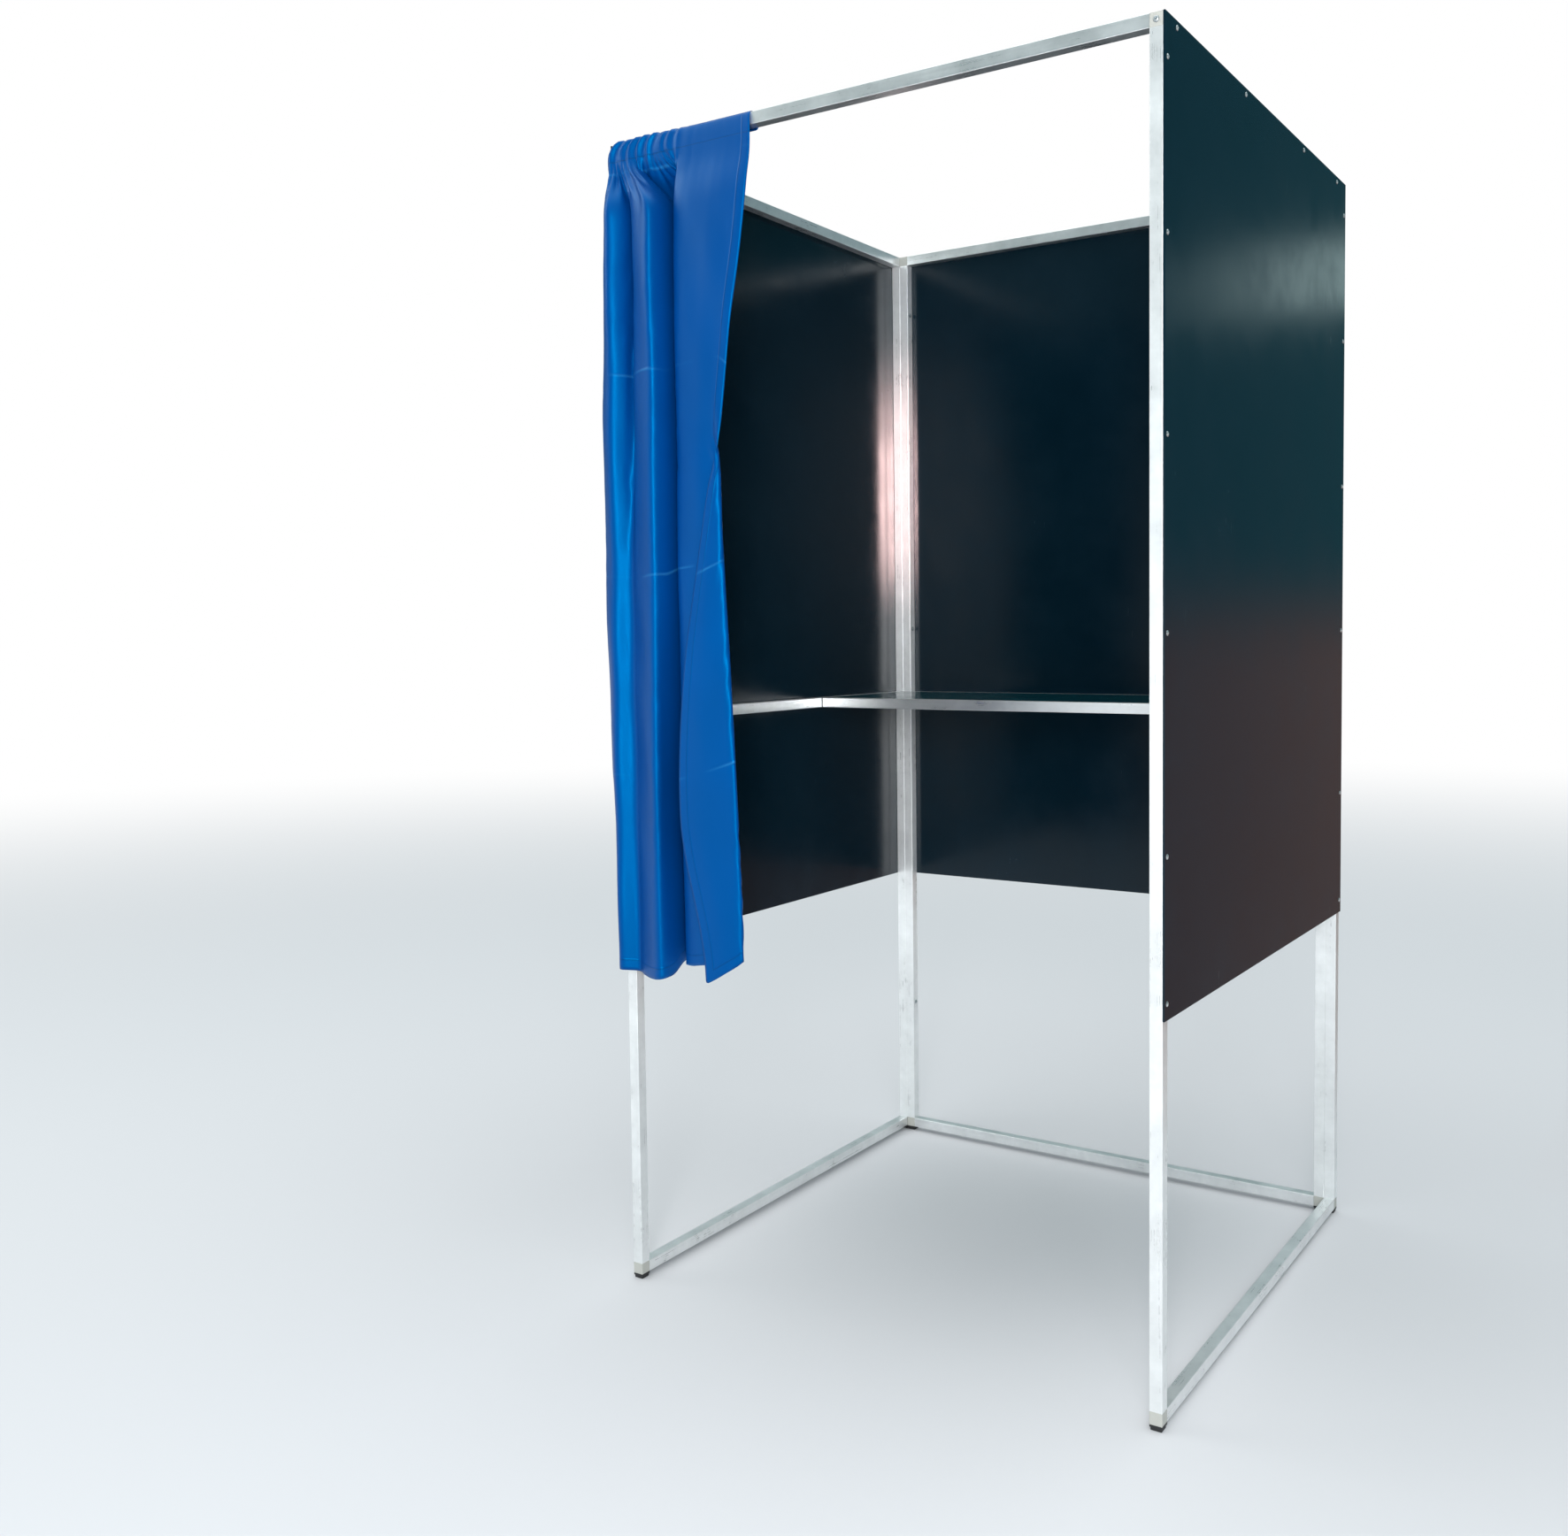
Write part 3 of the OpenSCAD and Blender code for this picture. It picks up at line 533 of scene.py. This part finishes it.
STITCH_Z = RAIL_LOW.z - 0.008        # the seam that closes the rod pocket under the rail
HEM_Z = LEAD_LOW.z + 0.010
POCKET_RUN = 0.110                   # cloth that goes once round the rail, from its seam back to its seam
NECK_Z = 1.88                        # above this height the folds keep their line
SLOT, LEADING = 7, 20                # points where the line goes in behind the folds and where its edge turns
GATHERED = 0.30                      # width of the bunched cloth along the rail
SWELL = 0.020                        # how far it bulges past the post
WAIST, WAIST_AT = 0.060, 0.36        # how far it narrows under the rail, and at which share of the drop
SPREAD = 0.035                       # how far it widens again down to its hem
TURNED_OVER = 0.110                  # widest fold of the leading edge
CORNER_BACK = 0.040                  # how much less that fold is at the hem
TOP_LEFT, TOP_MIDDLE, TOP_RIGHT = -0.505, -0.350, -0.2005    # the pocket's ends in front, and where its folds end
REAR_LEFT, REAR_RIGHT = -0.4785, -0.2025                     # its ends behind the rail


def fallen(z):
    """Share of the drop at a height: 0 at the pocket's seam, 1 at the hem."""
    return (STITCH_Z - z) / (STITCH_Z - HEM_Z)


def outline_left(z):
    """Left edge of the hanging cloth, which bulges past the post and is back at it near the hem."""
    bow = min(max(fallen(z) / 0.9, 0.0), 1.0)
    return POST_LOW.x - SWELL * math.sin(math.pi * bow)


def outline_right(z):
    """Right side of the hanging cloth: it falls inwards from the tight corner, then spreads to the hem."""
    down = fallen(z)
    inwards = WAIST * eased(down / WAIST_AT)
    return POST_LOW.x + GATHERED - inwards + SPREAD * eased((down - WAIST_AT) / (1 - WAIST_AT))


def flap_width(z):
    """Width of the leading edge that has folded over to the front, widest a little above the hem."""
    down = fallen(z)
    return TURNED_OVER * eased((down - 0.25) / 0.55) - CORNER_BACK * eased((down - 0.8) / 0.2)


def eased(value):
    """0 to 1 with a soft start and end."""
    value = min(max(value, 0.0), 1.0)
    return value * value * (3 - 2 * value)


def section(z):
    """The cloth's line seen from above at a height, as points (x, distance behind the frame's front).

    It runs along the outer fold, a valley and the main fold, goes in through a slot, doubles back and forth
    behind them, and comes out again to the flat right side, whose edge folds over to the front."""
    left, right, flap = outline_left(z), outline_right(z), flap_width(z)
    folded, lift = eased(flap / 0.022), min(0.015, flap * 0.2)
    deep = between(z, [(1.90, 1.0), (1.70, 0.9), (1.45, 0.4), (1.20, 0.1), (0.56, 0.2)])
    valley, main, slot = POST_HIGH.x + 0.025, POST_HIGH.x + 0.090, POST_HIGH.x + 0.110
    gap = between(z, [(1.90, 0.0), (1.30, 0.002), (0.90, 0.008), (0.56, 0.003)])

    def fold_over(flat, turned_back):
        return tuple(a + (b - a) * folded for a, b in zip(flat, turned_back))

    return [
        (left + 0.009, 0.000),
        (left, -0.014),
        (-0.484, -0.038),
        (valley - 0.008, -0.024 + 0.006 * deep),
        (valley, -0.022 + 0.034 * deep),
        (valley + 0.012, -0.024 + 0.006 * deep),
        (main, -0.044),
        (slot - 0.007 - gap, -0.022),
        (slot - 0.006 - gap, 0.018),
        (slot - 0.020, 0.028),
        (-0.462, 0.030),
        (-0.471, 0.038),
        (-0.462, 0.046),
        (slot, 0.052),
        (right - 0.066, 0.044),
        (right - 0.060, 0.037),
        (right - 0.066, 0.030),
        (slot + 0.020, 0.024),
        (slot + 0.009, 0.012),
        (slot + 0.011, -0.012),
        ((slot + right) / 2 + 0.002, -0.018),
        fold_over((right - 0.020, -0.016), (right - 0.010, -0.012)),
        fold_over((right - 0.013, -0.016), (right, -0.020)),
        fold_over((right - 0.007, -0.015), (right - flap * 0.5, -0.021 - lift * 0.8)),
        fold_over((right, -0.013), (right - flap, -0.021 - lift)),
    ]


def spline(knots, points, s):
    """Point at s on a smooth line through points at rising knots."""
    last = len(knots) - 1
    i = max(0, min(last - 1, next((k for k in range(last) if s <= knots[k + 1]), last - 1)))

    def slope(k, axis):
        a, b = max(k - 1, 0), min(k + 1, last)
        return (points[b][axis] - points[a][axis]) / max(knots[b] - knots[a], 1e-9)

    span = knots[i + 1] - knots[i]
    t = min(max((s - knots[i]) / max(span, 1e-9), 0.0), 1.0)
    h = (2 * t ** 3 - 3 * t ** 2 + 1, t ** 3 - 2 * t ** 2 + t, -2 * t ** 3 + 3 * t ** 2, t ** 3 - t ** 2)
    return tuple(h[0] * points[i][axis] + h[1] * span * slope(i, axis) + h[2] * points[i + 1][axis]
                 + h[3] * span * slope(i + 1, axis) for axis in (0, 1))


def knots_of(points):
    """Lengths along a line of points, from 0 to 1."""
    runs = [0.0]
    for (x0, y0), (x1, y1) in zip(points, points[1:]):
        runs.append(runs[-1] + math.hypot(x1 - x0, y1 - y0))
    return [r / runs[-1] for r in runs]


def hem_rise(s, knots):
    """How far the hem is lifted: most at the fold of the leading edge, from which its corner hangs down."""
    fold = knots[LEADING + 2]
    if s > fold:
        return 0.044 * (1 - (s - fold) / (1 - fold)) ** 1.15
    hidden = eased((s - knots[SLOT]) / 0.04)
    lifted = 0.022 + 0.022 * max(0.0, 1 - (fold - s) / 0.14)
    return lifted * hidden + 0.004 * math.sin(s * 31) * (1 - hidden)


def ruffle(s, x):
    """Puckers of the gathered pocket: full at the left, flat where the right end is pulled tight."""
    full = between(-x, [(0.50, 1.0), (0.40, 0.9), (0.35, 0.3), (0.30, 0.06)])
    wander = noise.noise(Vector((s * 9.0, 3.0, 0.0)))
    return full * (0.5 + 0.5 * math.sin(x / 0.021 * 2 * math.pi + 2.2 * wander)) * (0.7 + 0.5 * wander)


POCKET = ((0.0, (-0.003, STITCH_Z - 0.003)), (0.25, (0.0235, RAIL_LOW.z - 0.003)),
          (0.48, (0.0240, RAIL_HIGH.z + 0.002)), (0.72, (-0.0025, RAIL_HIGH.z + 0.003)),
          (1.0, (-0.0045, STITCH_Z)))


def drape_point(s, run, drop_run, top_knots):
    """Where a point of the cut comes to lie: s across its width, run down its length."""
    gathered = top_knots[SLOT + 12]
    if s < gathered:
        top_x = TOP_LEFT + (TOP_MIDDLE - TOP_LEFT) * s / gathered
    else:
        top_x = TOP_MIDDLE + (TOP_RIGHT - TOP_MIDDLE) * (s - gathered) / (1 - gathered)
    pucker = ruffle(s, top_x)
    if run < POCKET_RUN:
        t = run / POCKET_RUN
        for (t0, a), (t1, b) in zip(POCKET, POCKET[1:]):
            if t <= t1:
                k = (t - t0) / (t1 - t0)
                y, z = a[0] + (b[0] - a[0]) * k, a[1] + (b[1] - a[1]) * k
                break
        swell = math.sin(math.pi * min(max(t, 0.0), 1.0))
        y += 0.008 * pucker * (1 if t < 0.5 else -1) * swell * abs(math.cos(math.pi * t))
        z += 0.004 * pucker * swell
        behind = min(max((0.86 - t) / 0.2, 0.0), 1.0)
        rear_x = REAR_LEFT + (top_x - TOP_LEFT) * (REAR_RIGHT - REAR_LEFT) / (TOP_RIGHT - TOP_LEFT)
        x = top_x * (1 - behind) + behind * rear_x
        return Vector((x, FRONT + y - 0.004 * pucker * (1 - behind), z))
    t = (run - POCKET_RUN) / drop_run
    even = STITCH_Z - t * (STITCH_Z - HEM_Z)
    settled = eased((STITCH_Z - even) / 0.10)
    line = section(min(even, NECK_Z))
    here = knots_of(line)
    knots = [a + (b - a) * settled for a, b in zip(top_knots, here)]
    x, y = spline(knots, line, s)
    x = top_x + (x - top_x) * settled
    y = -0.0045 - 0.004 * pucker + (y + 0.0045 + 0.004 * pucker) * settled
    # the puckers run on under the seam as short dents, and the cloth is nowhere quite even
    depth = STITCH_Z - even
    y -= 0.011 * (pucker - 0.4) * eased(depth / 0.05) * math.exp(-depth / 0.10)
    y += 0.0035 * noise.noise(Vector((x * 16.0 + even * 5.0, even * 4.0, 7.0))) * settled
    x += 0.004 * noise.noise(Vector((s * 5.0, even * 3.5, 1.0))) * settled * min(4 * s, 4 * (1 - s), 1.0)
    z = STITCH_Z - t * (STITCH_Z - HEM_Z - hem_rise(s, here))
    return Vector((x, FRONT + y, z))


def block(name, low, high):
    """A plain block that cloth can rest against, for the time that it settles."""
    bm = bmesh.new()
    bmesh.ops.create_cube(bm, size=1.0)
    bmesh.ops.scale(bm, vec=high - low, verts=bm.verts[:])
    bmesh.ops.translate(bm, vec=(low + high) / 2, verts=bm.verts[:])
    made = object_of(name, bm)
    made.modifiers.new("solid", "COLLISION")
    made.collision.thickness_outer = 0.002
    made.collision.cloth_friction = 8.0
    return made


def settle(piece, steps, pinned):
    """Lets the cloth hang from its pinned points until it has settled, and keeps the shape that it takes."""
    blocks = [block("block_" + node, *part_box(node)) for node in
              ("curtain_rail", "left_front_post", "left_panel", "left_mid_rail")]
    held = piece.vertex_groups.new(name="held")
    for index, weight in pinned.items():
        held.add([index], weight, "REPLACE")
    cloth = piece.modifiers.new("hang", "CLOTH")
    rules = cloth.settings
    rules.quality, rules.mass, rules.air_damping = 7, 0.12, 4.0
    rules.tension_stiffness, rules.compression_stiffness, rules.shear_stiffness = 30.0, 30.0, 8.0
    rules.bending_stiffness, rules.bending_damping = 0.4, 0.5
    rules.tension_damping = rules.compression_damping = rules.shear_damping = 15.0
    rules.vertex_group_mass = "held"
    rules.pin_stiffness = 50.0
    touch = cloth.collision_settings
    touch.use_collision, touch.distance_min, touch.collision_quality = True, 0.002, 3
    touch.use_self_collision, touch.self_distance_min, touch.self_friction = True, 0.0035, 8.0
    scene = bpy.context.scene
    scene.frame_start, scene.frame_end = 1, steps
    cloth.point_cache.frame_start, cloth.point_cache.frame_end = 1, steps
    for step in range(1, steps + 1):
        scene.frame_set(step)
    settled = piece.evaluated_get(bpy.context.evaluated_depsgraph_get()).data
    shape = [v.co.copy() for v in settled.vertices]
    piece.modifiers.remove(cloth)
    piece.vertex_groups.clear()
    for vert, place in zip(piece.data.vertices, shape):
        vert.co = place
    scene.frame_set(1)
    for made in blocks:
        mesh = made.data
        bpy.data.objects.remove(made)
        bpy.data.meshes.remove(mesh)


# ---------------------------------------------------------------- operators

class BOOTH_OT_tubes(bpy.types.Operator):
    """Finish the square tubes of the frame"""
    bl_idname = "booth.tubes"
    bl_label = "Finish Tubes"

    def execute(self, context):
        for names, along, way, film in ((TUBES_ACROSS, 0, "x", 0.16), (TUBES_BACK, 1, "y", 0.3),
                                        (TUBES_UP, 2, "z", 0.42)):
            paint(names, mill_finish_aluminium("mill_finish_aluminium_" + way, along, film))
        return {"FINISHED"}


class BOOTH_OT_connectors(bpy.types.Operator):
    """Finish the corner connectors, end plugs and feet"""
    bl_idname = "booth.connectors"
    bl_label = "Finish Connectors"

    def execute(self, context):
        tubes = context.scene.booth_tubes
        paint(CONNECTORS, moulded_nylon("grey_glass_filled_nylon", tubes.connector, 0.5))
        paint(END_PLUGS, moulded_nylon("black_moulded_polyamide", tubes.plug, 0.45))
        paint(FEET, moulded_nylon("black_polyethylene_foot", tubes.plug, 0.55))
        return {"FINISHED"}


class BOOTH_OT_walls(bpy.types.Operator):
    """Finish the three wall panels and the shelf board"""
    bl_idname = "booth.walls"
    bl_label = "Finish Walls and Shelf"

    def execute(self, context):
        walls = context.scene.booth_walls
        paint(WALLS, black_gloss_laminate("black_gloss_laminate", walls.laminate, walls.gloss))
        # the shelf's lighter, greener colour is a painted reflection of the teal its top shows at a grazing view,
        # on the panels' laminate
        paint(("shelf_board",),
              black_gloss_laminate("shelf_laminate_with_painted_reflection", walls.shelf, walls.gloss - 0.08))
        return {"FINISHED"}


class BOOTH_OT_rivets(bpy.types.Operator):
    """Set a domed blind rivet with its broken mandrel in every hole of the panels, and give the shelf clips'
    rivets the same metal
    """
    bl_idname = "booth.rivets"
    bl_label = "Add Rivets"

    def execute(self, context):
        dome = context.scene.booth_fixings.rivet_dome
        metal = bright_rivet_aluminium("bright_rivet_aluminium")
        rows = (("left_wall_rivets", "left_panel_rivets", (-1, 0, 0)),
                ("right_wall_rivets", "right_panel_rivets", (1, 0, 0)),
                ("back_wall_rivets", "back_panel_rivets", (0, 1, 0)))
        for name, node, out in rows:
            bm = bmesh.new()
            out = Vector(out)
            axis = max(range(3), key=lambda i: abs(out[i]))
            for low, high in solids_of(node):
                centre, length = (low + high) / 2, (high - low)[axis]
                radius = (high - low)[(axis + 1) % 3] / 2
                head = centre + out * length / 2
                rings = [(0.0007, -0.0009), (0.0010, -0.0008), (0.0011, -0.0002),
                         (0.0014, 0.0), (radius * 0.62, -dome * 0.16),
                         (radius * 0.88, -dome * 0.48), (radius, -dome * 0.86),
                         (radius * 0.97, -dome), (radius * 0.5, -dome),
                         (radius * 0.5, -length * 0.6), (radius * 0.62, -length * 0.72),
                         (radius * 0.62, -length * 0.95), (radius * 0.4, -length)]
                turned(bm, rings, facing(out, head), sides=20)
            if not len(bm.verts):
                raise RuntimeError("no rivets were found in " + node)
            piece = keep_piece(name, bm, metal)
            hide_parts(node)
            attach(piece, "frame")
        paint(("shelf_clip_rivets",), metal)
        return {"FINISHED"}


class BOOTH_OT_screws(bpy.types.Operator):
    """Add the corner screws with their hexagon sockets, and finish the bolts, nuts and clips"""
    bl_idname = "booth.screws"
    bl_label = "Add Screws"

    def execute(self, context):
        zinc = zinc_plated_steel("zinc_plated_steel")
        bm = bmesh.new()
        for low, high in solids_of("curtain_corner_screws"):
            centre = (low + high) / 2
            radius, length = (high.x - low.x) / 2, high.y - low.y
            rings = [(0.0015, -0.0016), (0.0015, -0.0003), (0.0020, 0.0),
                     (radius * 0.6, -0.0001), (radius * 0.86, -0.0008),
                     (radius * 0.98, -0.0017), (radius, -0.0023),
                     (radius * 0.97, -0.0025), (0.0024, -0.0026),
                     (0.0024, -length + 0.001), (0.0017, -length)]
            turned(bm, rings, facing((0, -1, 0), Vector((centre.x, low.y, centre.z))), hexagons=2)
        if not len(bm.verts):
            raise RuntimeError("the corner screws were not found")
        piece = keep_piece("corner_socket_screws", bm, zinc)
        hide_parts("curtain_corner_screws")
        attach(piece, "frame")
        paint(("shelf_clips", "shelf_screws", "left_joining_bolts", "right_joining_bolts",
               "left_joining_nuts", "right_joining_nuts"), zinc)
        return {"FINISHED"}


class BOOTH_OT_curtain(bpy.types.Operator):
    """Gather the satin curtain on its rail and let it settle into folds"""
    bl_idname = "booth.curtain"
    bl_label = "Hang Curtain"

    def execute(self, context):
        cut = context.scene.booth_curtain
        columns, rows = 104, 116
        drop_run = cut.flat_length - POCKET_RUN
        top_knots = knots_of(section(NECK_Z))
        bm = bmesh.new()
        uv = bm.loops.layers.uv.new("Flat")
        bmesh.ops.create_grid(bm, x_segments=columns, y_segments=rows, size=0.5)
        for face in bm.faces:
            for loop in face.loops:
                at = loop.vert.co
                loop[uv].uv = (at.x + 0.5) * cut.flat_width, (at.y + 0.5) * cut.flat_length
        pinned = {}
        for number, vert in enumerate(bm.verts):
            s, run = vert.co.x + 0.5, (0.5 - vert.co.y) * cut.flat_length
            pinned[number] = 1.0 if run < POCKET_RUN + 0.014 else cut.guide
            vert.co = drape_point(s, run, drop_run, top_knots)
        bmesh.ops.recalc_face_normals(bm, faces=bm.faces[:])
        satin = polyester_satin("royal_blue_polyester_satin")
        piece = keep_piece("gathered_satin_curtain", bm, satin, 180.0)
        settle(piece, cut.settle_frames, pinned)
        fine = piece.modifiers.new("finer", "SUBSURF")
        fine.levels = fine.render_levels = 1
        body = piece.modifiers.new("cloth_thickness", "SOLIDIFY")
        body.thickness, body.offset = cut.thickness, 0.0
        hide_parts(*CURTAIN_FOLDS)
        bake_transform(piece)
        return {"FINISHED"}


class BOOTH_OT_stage(bpy.types.Operator):
    """Set up the plain floor, the soft lights and the camera"""
    bl_idname = "booth.stage"
    bl_label = "Build Stage"

    def execute(self, context):
        stage = context.scene.booth_stage
        scene = context.scene
        scene.view_settings.view_transform = "Standard"

        bm = bmesh.new()
        bmesh.ops.create_grid(bm, x_segments=4, y_segments=4, size=FLOOR_REACH)
        bmesh.ops.translate(bm, vec=(0.0, 0.0, -0.0005), verts=bm.verts[:])
        object_of("studio_floor", bm, plain_floor("pale_studio_floor"))

        world = bpy.data.worlds.new("pale_studio")
        world.use_nodes = True
        tree = world.node_tree
        tree.nodes.clear()
        seen = add(tree, "ShaderNodeLightPath").outputs["Is Camera Ray"]
        pale = add(tree, "ShaderNodeBackground", {"Color": linear("#ffffff"), "Strength": 1.0})
        # bright overhead and dim at eye level, as in a room lit from its ceiling
        way = add(tree, "ShaderNodeTexCoord").outputs["Generated"]
        rise = add(tree, "ShaderNodeSeparateXYZ", {"Vector": way}).outputs["Z"]
        high = add(tree, "ShaderNodeMapRange", {"Value": rise, "From Min": 0.42, "From Max": 1.0},
                   interpolation_type="SMOOTHSTEP")
        level = add(tree, "ShaderNodeMapRange",
                    {"Value": high, "To Min": stage.horizon, "To Max": stage.ceiling})
        tint = add(tree, "ShaderNodeMixRGB",
                   {"Fac": high, "Color1": linear("#b4dce2"), "Color2": linear("#ffffff")})
        dim = add(tree, "ShaderNodeBackground", {"Color": tint, "Strength": level})
        mixed = add(tree, "ShaderNodeMixShader", {0: seen, 1: dim, 2: pale})
        add(tree, "ShaderNodeOutputWorld", {"Surface": mixed})
        scene.world = world

        def aimed(data, at, aim):
            light = bpy.data.objects.new(data.name, data)
            light.location = at
            light.rotation_euler = (Vector(aim) - Vector(at)).to_track_quat("-Z", "Y").to_euler()
            scene.collection.objects.link(light)
            return light

        def soft_light(name, at, aim, width, height, power, colour):
            data = bpy.data.lights.new(name, "AREA")
            data.shape, data.size, data.size_y = "RECTANGLE", width, height
            data.energy, data.color = power, linear(colour)[:3]
            aimed(data, at, aim).visible_camera = False

        middle = (0.0, 0.0, 1.0)
        soft_light("front_wall_light", (-2.9, -4.4, 1.1), (0.0, -0.4, 1.0), 5.0, 1.7, stage.front, "#f0f8ff")
        soft_light("key_softbox", (-3.6, -1.8, 3.6), middle, 2.0, 2.0, stage.key, "#fffdf8")
        soft_light("fill_softbox", (2.1, -3.7, 2.1), (-0.2, 0.3, 1.0), 1.5, 1.5, stage.fill, "#fbfcff")
        soft_light("rear_softbox", (1.35, 4.2, 2.7), (0.5, 0.3, 1.7), 1.2, 0.28, stage.rear, "#dcf6f4")
        soft_light("strip_softbox", (1.7, -3.6, 1.25), (-0.4, -0.47, 1.2), 0.5, 2.4, stage.strip, "#ffffff")
        corner = bpy.data.lights.new("corner_spot", "SPOT")
        corner.energy, corner.color, corner.shadow_soft_size = stage.corner, linear("#ffd0cc")[:3], 0.08
        corner.spot_size, corner.spot_blend = math.radians(CORNER_LAMP_CONE), 1.0
        # it falls on the rear left posts alone, and the gloss walls beside them show its glow
        posts = bpy.data.collections.new("posts_under_corner_light")
        for name in ("left_rear_post", "back_left_post"):
            posts.objects.link(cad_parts[name])
        aimed(corner, CORNER_LAMP_AT, CORNER_LAMP_AIM).light_linking.receiver_collection = posts

        # a dimly glowing cove behind the right of the booth, no lamp, which only reflections show: a painted
        # reflection, cool above, warm below
        bm = bmesh.new()
        bmesh.ops.create_grid(bm, x_segments=1, y_segments=1, size=1.0)
        bmesh.ops.scale(bm, vec=(1.9, 1.9, 1.0), verts=bm.verts[:])
        bmesh.ops.translate(bm, vec=(2.7, 2.7, 0.01), verts=bm.verts[:])
        rear = [e for e in bm.edges if all(v.co.y > 4 for v in e.verts)]
        grown = bmesh.ops.extrude_edge_only(bm, edges=rear)["geom"]
        top = [g for g in grown if isinstance(g, bmesh.types.BMVert)]
        bmesh.ops.translate(bm, vec=(0.0, 0.0, 5.0), verts=top)
        cove = object_of("glowing_cove", bm, glowing_cove("glowing_cove_reflection"))
        cove.visible_camera = cove.visible_diffuse = cove.visible_shadow = False

        camera = bpy.data.objects.new("camera", bpy.data.cameras.new("camera"))
        turn, down, roll = (math.radians(degrees) for degrees in CAMERA_TURN)
        ahead = Vector((-math.sin(turn) * math.cos(down), math.cos(turn) * math.cos(down), -math.sin(down)))
        right = Vector((math.cos(turn), math.sin(turn), 0.0))
        up = right.cross(ahead)
        side = right * math.cos(roll) + up * math.sin(roll)
        top = up * math.cos(roll) - right * math.sin(roll)
        camera.matrix_world = Matrix.Translation(CAMERA_AT) @ \
            Matrix((side, top, -ahead)).transposed().to_4x4()
        camera.data.sensor_width, camera.data.lens = 36.0, stage.lens
        camera.data.shift_x, camera.data.shift_y = CAMERA_SHIFT
        scene.collection.objects.link(camera)
        scene.camera = camera
        return {"FINISHED"}


class BOOTH_PT_panel(bpy.types.Panel):
    """Lists the booth's operators and their settings."""
    bl_idname = "BOOTH_PT_panel"
    bl_label = "Polling Booth"
    bl_space_type = "VIEW_3D"
    bl_region_type = "UI"
    bl_category = "Booth"

    def draw(self, context):
        for group, operators in PANEL_ROWS:
            box = self.layout.box()
            settings = getattr(context.scene, group)
            for name in settings.bl_rna.properties.keys():
                if name not in ("rna_type", "name"):
                    box.prop(settings, name)
            for operator in operators:
                box.operator(operator.bl_idname)


PANEL_ROWS = (("booth_tubes", (BOOTH_OT_tubes, BOOTH_OT_connectors)), ("booth_walls", (BOOTH_OT_walls,)),
              ("booth_fixings", (BOOTH_OT_rivets, BOOTH_OT_screws)), ("booth_curtain", (BOOTH_OT_curtain,)),
              ("booth_stage", (BOOTH_OT_stage,)))
OPERATORS = tuple(operator for _, operators in PANEL_ROWS for operator in operators)


def register():
    for kind in (*SETTINGS.values(), *OPERATORS, BOOTH_PT_panel):
        bpy.utils.register_class(kind)
    for name, kind in SETTINGS.items():
        setattr(bpy.types.Scene, name, bpy.props.PointerProperty(type=kind))


def unregister():
    for name in SETTINGS:
        delattr(bpy.types.Scene, name)
    for kind in reversed((*SETTINGS.values(), *OPERATORS, BOOTH_PT_panel)):
        bpy.utils.unregister_class(kind)


def main():
    register()
    bpy.ops.booth.stage()
    bpy.ops.booth.tubes()
    bpy.ops.booth.connectors()
    bpy.ops.booth.walls()
    bpy.ops.booth.rivets()
    bpy.ops.booth.screws()
    bpy.ops.booth.curtain()
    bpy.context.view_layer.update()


if __name__ == "__main__":
    main()
